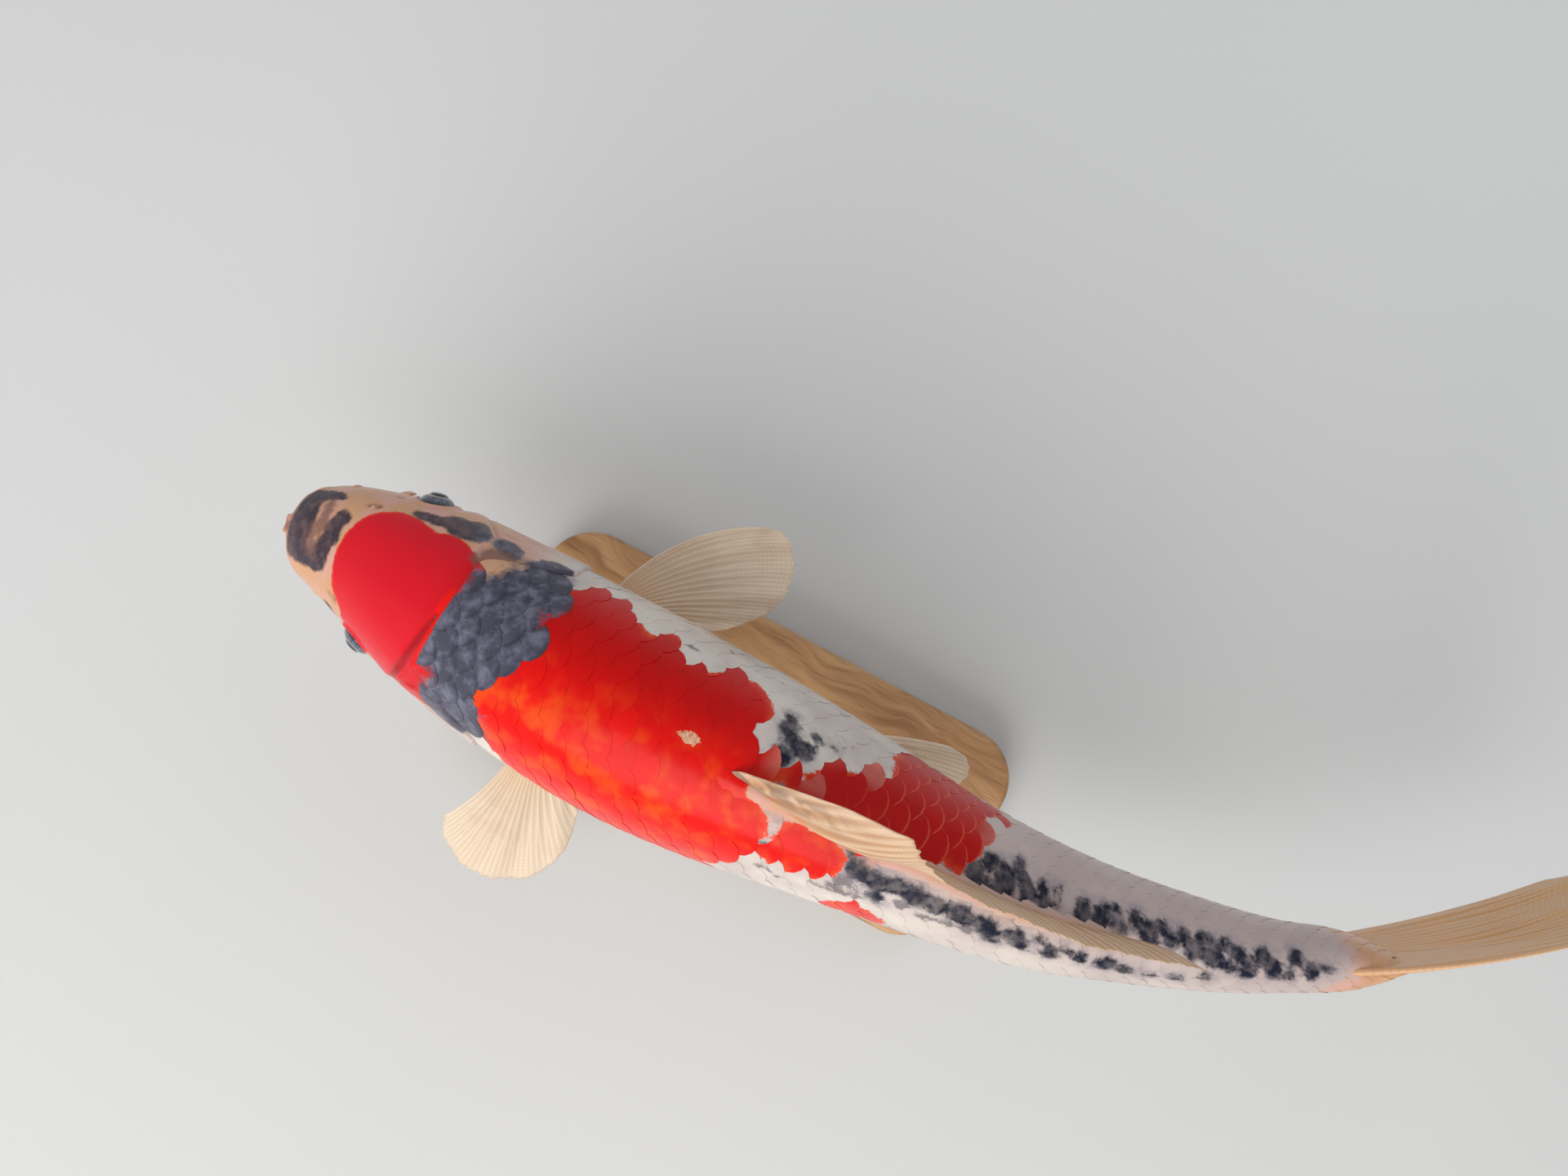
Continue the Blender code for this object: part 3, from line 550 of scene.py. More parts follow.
def eye_frame(side):
    """Centre of an eye and its three directions: forward along the body, up, and outwards."""
    rim = body_point(EYE_STATION, side * EYE_ANGLE)
    out = body_normal(EYE_STATION, side * EYE_ANGLE)
    centre = rim - out * (EYE_RADIUS - EYE_PROUD)
    ahead = unit(-spine_direction(EYE_STATION) + out * np.dot(spine_direction(EYE_STATION), out))
    up = np.cross(out, ahead) * side
    return centre, ahead, up, out


def skin_relief(station, angle, points):
    """How far each point of the skin stands out, and how much of lip, crease and gill it is; the crease share
    is painted shade in the grooves.
    """
    gap = (station - parting_station(angle)) * STANDARD_LENGTH
    turned = np.abs((angle + 180.0) % 360.0 - 180.0)
    flank = smooth_step(36.0, 52.0, turned) * (1.0 - smooth_step(150.0, 170.0, turned))
    height = -COAT_DEPTH * smooth_step(-0.0002, 0.0030, gap)
    plate = smooth_step(-0.034, -0.004, gap) * (gap < 0.0004)
    height += flank * 0.0009 * plate * (1.0 - smooth_step(-0.0012, 0.0004, gap))
    height -= (0.35 + 0.95 * flank) * 0.0011 * bell(gap - 0.0012, 0.0011)
    # The crease share is painted shade: a darker colour in the grooves of the gill opening, the cheek, the
    # mouth, the eye sockets and the nostrils.
    crease = (0.4 + 0.6 * flank) * bell(gap - 0.0008, 0.0010)
    cheek = 0.142 + 0.030 * ((turned - 98.0) / 52.0) ** 2
    line = (station - cheek) * STANDARD_LENGTH
    height -= flank * 0.00045 * bell(line, 0.0010) * (gap < 0)
    height += flank * 0.00035 * bell(line + 0.0035, 0.0030) * (gap < 0)
    crease = np.maximum(crease, 0.55 * flank * bell(line, 0.0009) * (gap < 0))
    share = (station - SNOUT) / (MOUTH_CORNER_STATION - SNOUT)
    mouth = AXIS_HEIGHT + STANDARD_LENGTH * (
        MOUTH_FRONT_LEVEL + (MOUTH_CORNER_LEVEL - MOUTH_FRONT_LEVEL) * share)
    rise = points[..., 2] - mouth
    fade = 1.0 - smooth_step(0.82, 1.06, share)
    height -= 0.0016 * bell(rise, 0.00042) * fade
    crease = np.maximum(crease, 1.2 * bell(rise, 0.00045) * fade)
    height += 0.0010 * bell(np.abs(rise) - 0.0018, 0.0011) * fade
    height -= 0.0005 * bell(np.abs(rise) - 0.0044, 0.0007) * (1.0 - smooth_step(0.95, 1.3, share))
    lip = bell(np.abs(rise) - 0.0017, 0.0019) * fade
    height += 0.0004 * bell(np.abs(rise) - 0.0066, 0.0016) * (1.0 - smooth_step(0.9, 1.3, share))
    for side in (-1.0, 1.0):
        socket = eye_frame(side)
        centre = socket[0]
        out = socket[3]
        offset = points - centre
        depth = offset @ out
        reach = np.linalg.norm(offset - depth[..., None] * out, axis=-1)
        near = depth > 0
        height += near * 0.00055 * bell(reach - 0.0071, 0.0008)
        height -= near * 0.00030 * bell(reach - 0.0092, 0.0011)
        height -= near * 0.0032 * (1.0 - smooth_step(0.0050, 0.0064, reach))
        crease = np.maximum(crease, near * 0.9 * bell(reach - 0.0061, 0.0007))
        for back, spread, deep, wide in ((0.066, 46.0, -0.0014, 0.0011), (0.0595, 45.0, -0.0010, 0.0008),
                                         (0.0628, 44.5, 0.0009, 0.0008)):
            spot = body_point(back, side * spread)
            away = np.linalg.norm(points - spot, axis=-1)
            height += deep * bell(away, wide)
            if deep < 0:
                crease = np.maximum(crease, bell(away, wide))
    base = (station > DORSAL_START - 0.006) & (station < DORSAL_END + 0.006)
    height += base * 0.0010 * bell(around_at(station, angle), 0.0030)
    fold = blot_distance(FOLD_BLOTS, station * STANDARD_LENGTH * MILLIMETRES,
                         around_at(station, angle) * MILLIMETRES)
    height -= 0.0004 * (1.0 - smooth_step(-1.2, 1.4, fold))
    gill = flank * smooth_step(0.0, 0.006, line) * (gap < 0.0005)
    return height, np.stack((lip, crease, gill), axis=-1)


def skin_rows():
    """Station of every point of the skin, row by row; the rows follow the back of the head."""
    angles = np.arange(AROUND) * 360.0 / AROUND
    parting = parting_station(angles)
    shares = np.linspace(0.0, 1.0, HEAD_ROWS)
    shares = 0.80 * shares + 0.20 * (1.0 - (1.0 - shares) ** 2.2)
    head = SNOUT + 0.0002 + (parting - SNOUT - 0.0002)[None, :] * shares[:, None]
    step = np.arange(1, BODY_ROWS + 1)
    share = 0.0017 * step + (1.0 - 0.0017 * BODY_ROWS) * (step / BODY_ROWS) ** 2
    body = parting[None, :] + (BODY_END - parting)[None, :] * share[:, None]
    return np.concatenate((head, body)), angles


def build_skin(material):
    """One closed skin from the lips to the root of the tail fin."""
    stations, angles = skin_rows()
    turned = np.broadcast_to(angles, stations.shape)
    points = body_point(stations, turned)
    height, zones = skin_relief(stations, turned, points)
    points = points + grid_normals(points) * height[..., None]
    nose = points[0].mean(axis=0)
    ahead = -spine_direction(SNOUT)
    caps = []
    cap_shares = (0.06, 0.2, 0.36, 0.52, 0.68, 0.84)
    for share in cap_shares:
        ring = nose + (points[0] - nose) * share
        caps.append(ring + ahead * 0.0011 * (1.0 - share ** 2))
    caps = np.array(caps)
    rise = caps[..., 2] - (AXIS_HEIGHT + STANDARD_LENGTH * MOUTH_FRONT_LEVEL)
    pout = 0.0010 * bell(np.abs(rise) - 0.0018, 0.0011) - 0.0016 * bell(rise, 0.00042)
    caps += ahead * pout[..., None]
    # The second zone is painted shade along the mouth line.
    cap_zones = np.stack((bell(np.abs(rise) - 0.0017, 0.0019), 1.2 * bell(rise, 0.00045), rise * 0), axis=-1)
    count = len(cap_shares)
    points = np.concatenate((caps, points))
    zones = np.concatenate((cap_zones, zones))
    stations = np.concatenate((np.full((count, AROUND), SNOUT), stations))
    turned = np.broadcast_to(angles, stations.shape)
    rows = len(points)
    around = around_at(stations, turned)
    faces = grid_faces(rows, AROUND, True)[:, ::-1]
    flat = points.reshape(-1, 3)
    ends = np.array((caps[0].mean(axis=0), points[-1].mean(axis=0)))
    first = len(flat)
    ring = np.arange(AROUND)
    after = (ring + 1) % AROUND
    last = (rows - 1) * AROUND
    tips = np.concatenate((
        np.stack((ring, after, np.full(AROUND, first)), axis=-1),
        np.stack((last + after, last + ring, np.full(AROUND, first + 1)), axis=-1)))
    return skin_mesh(flat, ends, faces, tips, stations, around, zones, material)


def skin_mesh(flat, ends, faces, tips, stations, around, zones, material):
    """The skin's mesh object with its markings, zones and map."""
    every = [tuple(face) for face in faces.tolist()] + [tuple(face) for face in tips.tolist()]
    item = object_from("skin", np.concatenate((flat, ends)), every, material)
    station = np.concatenate((stations.ravel(), (SNOUT, BODY_END)))
    length = np.concatenate((around.ravel(), (0.0, 0.0)))
    marks, tints = markings(station, length)
    add_vectors(item, "marks", marks)
    add_vectors(item, "tints", tints)
    add_vectors(item, "zones", np.concatenate((zones.reshape(-1, 3), np.zeros((2, 3)))))
    add_vectors(item, "bars", crown_bars(station, length))
    corner = corner_points(item.data)
    owner = np.repeat(np.arange(len(every)), [len(face) for face in every])
    signed = length[corner]
    girth = half_girth(station[corner])
    middle = np.bincount(owner, weights=(np.abs(signed) > 0.5 * girth) * np.sign(signed))[owner]
    wrapped = np.where((middle > 0) & (signed < -0.4 * girth), -signed, signed)
    wrapped = np.where((middle < 0) & (signed > 0.4 * girth), -signed, wrapped)
    add_map(item, unwrap(station[corner], wrapped))
    return item


# ---- scales -------------------------------------------------------------------------------


def lateral_rows(station):
    """Rows of scales between the middle of the flank and the back."""
    return LATERAL_ROWS_FRONT + (LATERAL_ROWS_REAR - LATERAL_ROWS_FRONT) * smooth_step(0.43, 0.77, station)


def scale_pitch(station):
    """Distance between scales along a row."""
    return FRONT_PITCH + (REAR_PITCH - FRONT_PITCH) * smooth_step(0.30, 1.0, station)


def scale_places():
    """Station, signed length round the body, pitch and row spacing of every scale's tip."""
    found = []
    station = NAPE_STATION + 0.006
    column = 0
    while station < LAST_SCALE:
        quarter = half_girth(station) / 2
        rows = float(lateral_rows(station))
        pitch = float(scale_pitch(station))
        for row in range(-8, 9):
            if (row + column) % 2 == 0:
                continue
            share = row / rows
            if abs(share) > 1.001:
                continue
            place = quarter * (1.0 - share)
            middle = abs(abs(share) - 1.0) < 0.02
            if not middle and min(place, 2 * quarter - place) < 0.30 * quarter / rows:
                continue
            for side in (1.0,) if middle else (1.0, -1.0):
                found.append((station, side * place, pitch, quarter / rows))
        station += 0.5 * pitch / STANDARD_LENGTH
        column += 1
    return np.array(found)


def keep_scales(places):
    """Leave out the scales that would lie on the head or through the dorsal fin."""
    station = places[:, 0]
    around = places[:, 1]
    angle = angle_at(station, around)
    clear = (station - parting_station(angle)) * STANDARD_LENGTH > 0.30 * places[:, 2]
    base = (station > DORSAL_START - 0.003) & (station < DORSAL_END + 0.012)
    return places[clear & ~(base & (np.abs(around) < 0.0020))]


SCALE_ROWS = (0.0, 0.34, 0.62, 0.84, 1.0)
SCALE_COLUMNS = (-1.0, -0.68, -0.34, 0.0, 0.34, 0.68, 1.0)


def scale_faces():
    """Faces of one scale: a domed top, a rim and a flat underside."""
    rows = len(SCALE_ROWS)
    columns = len(SCALE_COLUMNS)
    top = grid_faces(rows, columns, False)[:, ::-1]
    border = [i * columns for i in range(rows)]
    border += [(rows - 1) * columns + j for j in range(1, columns)]
    border += [i * columns + columns - 1 for i in range(rows - 2, -1, -1)]
    border += list(range(columns - 2, 0, -1))
    under = {point: rows * columns + k for k, point in enumerate(border)}
    rim = [(a, b, under[b], under[a]) for a, b in zip(border, border[1:] + border[:1])]
    floor = []
    for i in range(rows - 1):
        left = (under[i * columns], under[(i + 1) * columns])
        right = (under[i * columns + columns - 1], under[(i + 1) * columns + columns - 1])
        floor.append((left[0], left[1], right[1], right[0]))
    tail = [(rows - 1) * columns + j for j in range(columns)]
    for j in range((columns - 1) // 2):
        a, b = under[tail[j]], under[tail[columns - 1 - j]]
        c, d = under[tail[j + 1]], under[tail[columns - 2 - j]]
        floor.append((a, c, d, b) if c != d else (a, c, b, b))
    head = list(range(columns))
    for j in range((columns - 1) // 2):
        a, b = under[head[j]], under[head[columns - 1 - j]]
        c, d = under[head[j + 1]], under[head[columns - 2 - j]]
        floor.append((a, b, d, c) if c != d else (a, b, c, c))
    return top, np.array(rim), floor, border


def build_scales(name, places, material):
    """Many thin overlapping scales in one mesh, each bent to the body under it."""
    chance = np.random.default_rng(SEED + len(name))
    count = len(places)
    station, around, pitch, spacing = (places[:, k][:, None, None] for k in range(4))
    jitter = chance.normal(0.0, 1.0, (4, count))[:, :, None, None]
    length = pitch * SCALE_OVERLAP_ALONG * (1.0 + 0.03 * jitter[0])
    half = spacing * SCALE_OVERLAP_ACROSS * (1.0 + 0.02 * jitter[1])
    tilt = (1.0 + 0.10 * jitter[2]) * (0.72 + 0.28 * smooth_step(0.18, 0.27, station))
    u = np.array(SCALE_ROWS)[None, :, None]
    v = np.array(SCALE_COLUMNS)[None, None, :]
    edge = pitch * 1.02 * (1.0 - np.sqrt(np.maximum(1.0 - (0.985 * v) ** 2, 0.0)))
    x = -length + u * (length - edge) + 0.03 * pitch * jitter[3]
    y = v * half * (0.80 + 0.20 * np.sin(np.pi * np.clip(u, 0.0, 1.0) * 0.9))
    run = (x + length) / length
    rise = SCALE_ROOT_RISE + (SCALE_TIP_RISE - SCALE_ROOT_RISE) * run * tilt
    rise = rise + SCALE_DOME * (1.0 - v ** 2) * np.sin(np.pi * np.clip(u, 0, 1) * 0.75)
    own_station = np.clip(station + x / STANDARD_LENGTH, SNOUT + 0.001, BODY_END - 0.0004)
    own_around = around / half_girth(station) * half_girth(own_station) + y
    angle = angle_at(own_station, own_around)
    normal = body_normal(own_station, angle)
    ground = body_point(own_station, angle) - normal * COAT_DEPTH
    top = ground + normal * rise[..., None]
    low = ground + normal * (rise - SCALE_THICKNESS)[..., None]
    return join_scales(name, places, top, low, own_station, own_around, u, v, run, chance, material)


def sharpen_rims(mesh, size, border):
    """Keep the crease crisp where the top of each scale meets its rim."""
    ends = np.zeros(2 * len(mesh.edges), np.int32)
    mesh.edges.foreach_get("vertices", ends)
    ends = ends.reshape(-1, 2) % (size + len(border))
    after = dict(zip(border, border[1:] + border[:1]))
    pairs = np.array([(min(a, b), max(a, b)) for a, b in after.items()])
    codes = pairs[:, 0] * 1000 + pairs[:, 1]
    crisp = np.isin(ends.min(axis=1) * 1000 + ends.max(axis=1), codes)
    mesh.attributes.new("sharp_edge", 'BOOLEAN', 'EDGE').data.foreach_set("value", crisp)


def join_scales(name, places, top, low, own_station, own_around, u, v, run, chance, material):
    """Put the scales' points, faces, markings and map into one object."""
    count = len(places)
    tops, rim, floor, border = scale_faces()
    size = len(SCALE_ROWS) * len(SCALE_COLUMNS)
    points = np.concatenate((top.reshape(count, size, 3), low.reshape(count, size, 3)[:, border]), axis=1)
    each = size + len(border)
    quads = np.concatenate((tops, rim, np.array([face for face in floor if face[2] != face[3]])))
    tris = np.array([face[:3] for face in floor if face[2] == face[3]])
    shift = np.arange(count)[:, None, None] * each
    every = [tuple(f) for f in (quads[None] + shift).reshape(-1, 4).tolist()]
    every += [tuple(f) for f in (tris[None] + shift).reshape(-1, 3).tolist()]
    item = object_from(name, points.reshape(-1, 3), every, material)
    face_out(item)
    sharpen_rims(item.data, size, border)
    order = list(range(size)) + border

    def each_point(values):
        """Spread a value on the grid of each scale over its top and underside."""
        return np.broadcast_to(values, top.shape[:3]).reshape(count, size)[:, order]

    middle = places[:, 0] - 0.45 * places[:, 2] / STANDARD_LENGTH
    middle_marks, middle_tints = markings(middle, places[:, 1])
    own_marks, own_tints = markings(own_station, own_around)
    own_marks = own_marks.reshape(count, size, 3)[:, order]
    marks = 0.70 * middle_marks[:, None, :] + 0.30 * own_marks
    marks[..., 2] = own_marks[..., 2]
    own_tints = own_tints.reshape(count, size, 3)[:, order]
    tints = 0.5 * middle_tints[:, None, :] + 0.5 * own_tints
    tints[..., 0] = own_tints[..., 0]
    add_vectors(item, "marks", marks)
    add_vectors(item, "tints", tints)
    rand = np.broadcast_to(chance.random(count)[:, None], (count, each))
    add_vectors(item, "local", np.stack((each_point(u + 0 * run), each_point(v + 0 * run), rand), axis=-1))
    along = middle[:, None] * STANDARD_LENGTH * MILLIMETRES + 0 * rand
    aside = places[:, 1][:, None] * MILLIMETRES + 0 * rand
    add_vectors(item, "middle", np.stack((along, aside, rand), axis=-1))
    root = unwrap(places[:, 0] - 1.7 * places[:, 2] / STANDARD_LENGTH, places[:, 1])
    patch = np.stack((each_point(run) - 0.5, 0.5 * each_point(v + 0 * run)), axis=-1) * SCALE_MAP_PATCH
    add_map(item, (root[:, None, :] + patch).reshape(-1, 2)[corner_points(item.data)])
    return item


# ---- fins ---------------------------------------------------------------------------------


def split_rays(phase, share, first, second):
    """How much of a ray each place holds; rays fork at first and again at second."""

    def near(centre):
        return np.abs(phase - centre - np.round(phase - centre))

    spread = 0.25 * smooth_step(first, min(first + 0.50, 1.0), share)
    finer = 0.125 * smooth_step(second, min(second + 0.35, 1.05), share)
    away = np.full(np.broadcast(phase, share).shape, 1.0)
    for outer in (-1.0, 1.0):
        for inner in (-1.0, 1.0):
            away = np.minimum(away, near(outer * spread + inner * finer))
    width = 0.20 - 0.085 * smooth_step(first, 1.0, share)
    return bell(away, width)


def build_fin(name, controls, rays, material, thick_root, thick_edge, fork=0.42, fork_again=0.74,
              per_ray=9, rows=46, wave=0.0006, fray=0.020, first_spine=0.0, fleshy=0.07):
    """A fin of forked rays, thick at the root for about the share fleshy of each ray.

    The controls are shares along the root, roots, tips and bows.
    """
    shares, roots, tips, bows = controls
    columns = (rays - 1) * per_ray + 1
    share = np.linspace(0.0, 1.0, columns)
    table = np.concatenate((shares[:, None], roots, tips, bows), axis=1)
    fine = np.stack([through(table, column, share) for column in range(1, 10)], axis=-1)
    root, tip, bow = fine[:, 0:3], fine[:, 3:6], fine[:, 6:9]
    chance = np.random.default_rng(SEED + len(name) + rays)
    phase = share * (rays - 1)
    t = np.linspace(0.0, 1.0, rows) ** 0.92
    notch = fray * (0.5 - 0.5 * np.cos(2 * np.pi * phase)) ** 0.7
    notch = notch + 0.35 * fray * (0.5 - 0.5 * np.cos(4 * np.pi * phase + 0.4))
    ragged = np.interp(phase, np.arange(rays), chance.normal(0.0, 0.30 * fray, rays))
    reach = 1.0 - notch - np.abs(ragged)
    reach[0] = reach[-1] = 1.0 - fray
    s = t[None, :] * reach[:, None]
    middle = root[:, None] + (tip - root)[:, None] * s[..., None]
    middle = middle + bow[:, None] * (4.0 * s * (1.0 - s))[..., None]
    along = unit(np.gradient(middle, axis=1))
    across = np.gradient(middle, axis=0)
    normal = unit(np.cross(along, across))
    ripple = np.sin(phase[:, None] * 0.9 + 2.2 * s + chance.random() * 6.0)
    ripple = ripple + 0.6 * np.sin(phase[:, None] * 2.1 + 4.0 * s)
    middle = middle + normal * (wave * ripple * smooth_step(0.15, 1.0, s))[..., None]
    ray = split_rays(phase[:, None], s, fork, fork_again)
    if first_spine:
        ray = np.maximum(ray, bell(phase[:, None] + 0 * s, 0.5) * (1.0 - 0.3 * s))
    bone = thick_root + (thick_edge - thick_root) * s ** 0.8
    film = 0.45 * bone
    film = np.minimum(film + (0.95 * thick_root - film) * bell(s, fleshy), bone)
    half = 0.5 * (film + (bone - film) * ray)
    rim = np.minimum(np.arange(columns), np.arange(columns)[::-1])
    half = half * smooth_step(-0.8, 2.0, rim)[:, None]
    half = np.maximum(half * (1.0 - 0.5 * smooth_step(0.97, 1.0, t))[None, :], 0.00006)
    top = middle + normal * half[..., None]
    low = middle - normal * half[..., None]
    size = columns * rows
    faces = grid_faces(columns, rows, False)
    border = [(i, 0) for i in range(columns)]
    border += [(columns - 1, j) for j in range(1, rows)]
    border += [(i, rows - 1) for i in range(columns - 2, -1, -1)]
    border += [(0, j) for j in range(rows - 2, 0, -1)]
    line = np.array([i * rows + j for i, j in border])
    after = np.roll(line, -1)
    rim_faces = np.stack((line, after, after + size, line + size), axis=-1)
    every = np.concatenate((faces[:, ::-1], faces + size, rim_faces))
    points = np.concatenate((top.reshape(-1, 3), low.reshape(-1, 3)))
    item = mesh_object(name, points, every, material)
    face_out(item)
    ray_values = np.stack((phase[:, None] + 0 * s, s, ray), axis=-1).reshape(-1, 3)
    add_vectors(item, "rays", np.concatenate((ray_values, ray_values)))
    return item


def face_out(item):
    """Turn every face of a closed shape outwards."""
    shape = bmesh.new()
    shape.from_mesh(item.data)
    bmesh.ops.recalc_face_normals(shape, faces=shape.faces[:])
    shape.to_mesh(item.data)
    shape.free()


def dorsal_controls():
    """The long back fin, folded back with its front lobe leaning to the right."""
    rays = (
        (0.000, 0.030, 0.012, 0.50), (0.025, 0.062, 0.019, 0.48), (0.055, 0.098, 0.024, 0.46),
        (0.085, 0.124, 0.025, 0.46), (0.150, 0.118, 0.019, 0.47), (0.240, 0.100, 0.009, 0.48),
        (0.400, 0.090, 0.003, 0.50), (0.600, 0.078, -0.002, 0.48), (0.800, 0.078, -0.004, 0.42),
        (1.000, 0.084, -0.004, 0.32),
    )
    shares = np.array((0.0, 0.025, 0.055, 0.085, 0.15, 0.23, 0.32, 0.42, 0.53, 0.65, 0.77, 0.88, 1.0))
    station = DORSAL_START + (DORSAL_END - DORSAL_START) * shares
    station = station - 0.007 * (1.0 - smooth_step(0.0, 0.2, shares))
    length, lean, rise = (through(rays, column, shares)[:, None] for column in (1, 2, 3))
    root = body_point(station, 0.0, -FIN_ROOT_DEPTH)
    back = spine_direction(station + 0.05)
    right = np.stack((-back[:, 1], back[:, 0], 0 * back[:, 0]), axis=-1)
    up = np.array((0.0, 0.0, 1.0))
    ahead = np.sqrt(np.maximum(1.0 - rise ** 2, 0.0)) * length
    flow = back * ahead + right * lean + up * (rise * length + 0.008)
    sag = bell(shares - 0.16, 0.12)[:, None]
    bows = (1.0 - sag) * np.array((0.0, 0.0022, 0.0010)) + sag * np.array((0.0, -0.0052, 0.0004))
    return shares, root, root + flow * STANDARD_LENGTH, bows


def anal_controls():
    """The short fin under the tail stalk."""
    shares = np.linspace(0.0, 1.0, 15)
    station = ANAL_START + (ANAL_END - ANAL_START) * shares
    length = (0.125 - 0.075 * shares ** 0.9 - 0.026 * (1.0 - smooth_step(-0.1, 0.24, shares)))[:, None]
    root = body_point(station, 180.0, -FIN_ROOT_DEPTH)
    flow = 0.66 * spine_direction(station + 0.03) + np.array((0.0, 0.0, -0.75))
    return shares, root, root + STANDARD_LENGTH * length * flow, np.zeros((15, 3))


def tail_controls(side):
    """One lobe of the forked tail fin; side is 1 for the upper lobe and -1 for the lower."""
    spread = TAIL_SPREAD_UPPER if side > 0 else TAIL_SPREAD_LOWER
    shares = 1.0 - (1.0 - np.linspace(0.0, 1.0, 16)) ** 1.6
    length = 0.184 + 0.070 * shares ** 1.6 - 0.050 * np.maximum(shares / 0.18 - 4.556, 0.0) ** 2.4
    level = side * shares * STANDARD_LENGTH
    start = TAIL_ROOT - 0.022
    roots = beside_spine(start - 0.034 * shares ** 3, 0.0, 0.0595 * level)
    lean = (0.0055 if side > 0 else 0.0) * shares
    tips = beside_spine(TAIL_ROOT + length, -0.0018 + lean, spread * level)
    ends = beside_spine(start, 0.0, 0.0) + beside_spine(1.21, 0.0, 0.0)
    bend = beside_spine(1.11, -0.0006, 0.0) - 0.5 * ends
    swell = np.array((0.0, 0.0, 0.0050 * side)) * (shares ** 3)[:, None]
    return shares, roots, tips, bend + swell


def paired_controls(fan, root_start, root_end, levels, side, dip):
    """A pectoral or pelvic fin; fan rows are share, azimuth, ray length and backward curl."""
    shares = np.linspace(0.0, 1.0, 12)
    azimuth, length, curl = (through(fan, column, shares) for column in (1, 2, 3))
    station = root_start + (root_end - root_start) * shares
    level = levels[0] + (levels[1] - levels[0]) * shares
    root = side_point(station, level, side, -PAIRED_ROOT_DEPTH)
    turn = np.radians(azimuth)
    fall = np.radians(dip[0] + (dip[1] - dip[0]) * shares)
    flow = np.stack((np.cos(turn) * np.cos(fall), side * np.sin(turn) * np.cos(fall), -np.sin(fall)), axis=-1)
    tips = root + flow * (length * STANDARD_LENGTH + PAIRED_ROOT_DEPTH)[:, None]
    ahead = np.stack((-np.sin(turn), side * np.cos(turn), 0 * turn), axis=-1)
    bows = ahead * (np.tan(np.radians(curl)) * length * STANDARD_LENGTH / 2)[:, None]
    return shares, root, tips, bows


PECTORAL_RIGHT = (
    (0.00, 53.5, 0.146, 14.0), (0.12, 50.0, 0.161, 13.0), (0.30, 43.5, 0.163, 10.0),
    (0.50, 36.0, 0.152, 7.0), (0.70, 28.5, 0.131, 4.0), (0.85, 23.0, 0.104, 2.0), (1.00, 17.0, 0.068, 0.0),
)
PECTORAL_LEFT = (
    (0.00, 109.0, 0.140, -6.0), (0.12, 105.0, 0.164, -6.0), (0.30, 96.0, 0.178, -3.0),
    (0.50, 84.0, 0.179, 0.0), (0.70, 72.0, 0.160, 3.0), (0.85, 61.0, 0.126, 5.0), (1.00, 47.0, 0.075, 6.0),
)
PELVIC = (
    (0.00, 23.0, 0.138, 5.0), (0.08, 21.0, 0.151, 5.0), (0.22, 17.5, 0.158, 5.0), (0.50, 11.0, 0.145, 4.0),
    (0.80, 4.0, 0.112, 2.0), (1.00, -2.0, 0.074, 0.0),
)


def build_fins(looks):
    """Every fin, each in place of its own solid."""
    made = [
        build_fin("fin_dorsal", dorsal_controls(), 22, looks["dorsal"], 0.0016, 0.0005,
                  fork=0.30, fork_again=0.7, rows=44, wave=0.0004, fray=0.026, first_spine=1.0),
        build_fin("fin_anal", anal_controls(), 8, looks["fin"], 0.0018, 0.0005, rows=40, wave=0.0004),
        build_fin("fin_tail_upper", tail_controls(1.0), 11, looks["tail"], 0.0024, 0.0004,
                  fork=0.34, fork_again=0.62, per_ray=12, rows=64, wave=0.0008, fleshy=0.40),
        build_fin("fin_tail_lower", tail_controls(-1.0), 11, looks["tail"], 0.0024, 0.0004,
                  fork=0.34, fork_again=0.62, per_ray=12, rows=64, wave=0.0008, fleshy=0.40),
    ]
    paired = (
        ("fin_pectoral_right", PECTORAL_RIGHT, 0.262, 0.284, (-0.054, -0.068), 1.0, (9.0, 14.0), 17),
        ("fin_pectoral_left", PECTORAL_LEFT, 0.262, 0.284, (-0.056, -0.070), -1.0, (36.0, 34.0), 17),
        ("fin_pelvic_right", PELVIC, 0.485, 0.510, (-0.116, -0.125), 1.0, (16.0, 20.0), 10),
        ("fin_pelvic_left", PELVIC, 0.485, 0.510, (-0.116, -0.125), -1.0, (21.0, 25.0), 10),
    )
    for name, fan, start, end, levels, side, dip, rays in paired:
        made.append(build_fin(name, paired_controls(fan, start, end, levels, side, dip), rays, looks["fin"],
                              0.0022, 0.0005, wave=0.0007, fray=0.011, first_spine=1.0))
    solids = ("dorsal_fin", "anal_fin", "caudal_fin_upper", "caudal_fin_lower", "pectoral_fin_right",
              "pectoral_fin_left", "pelvic_fin_right", "pelvic_fin_left")
    for item, solid in zip(made, solids):
        settle(item, "fin", solid)
    return made


def settle(item, slot, *solids):
    """Let a piece ride on the model and stand for its solids."""
    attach(item, "root")
    if solids:
        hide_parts(*solids)
    return item


# ---- eyes, barbels and stand --------------------------------------------------------------


def ringed(name, rings, poles, material):
    """A closed shape from rings of points with a pole at each end."""
    spokes = rings.shape[1]
    count = len(rings) * spokes
    faces = [tuple(face) for face in grid_faces(len(rings), spokes, True).tolist()]
    for k in range(spokes):
        after = (k + 1) % spokes
        faces.append((after, k, count))
        faces.append((count - spokes + k, count - spokes + after, count + 1))
    item = object_from(name, np.concatenate((rings.reshape(-1, 3), poles)), faces, material)
    face_out(item)
    return item


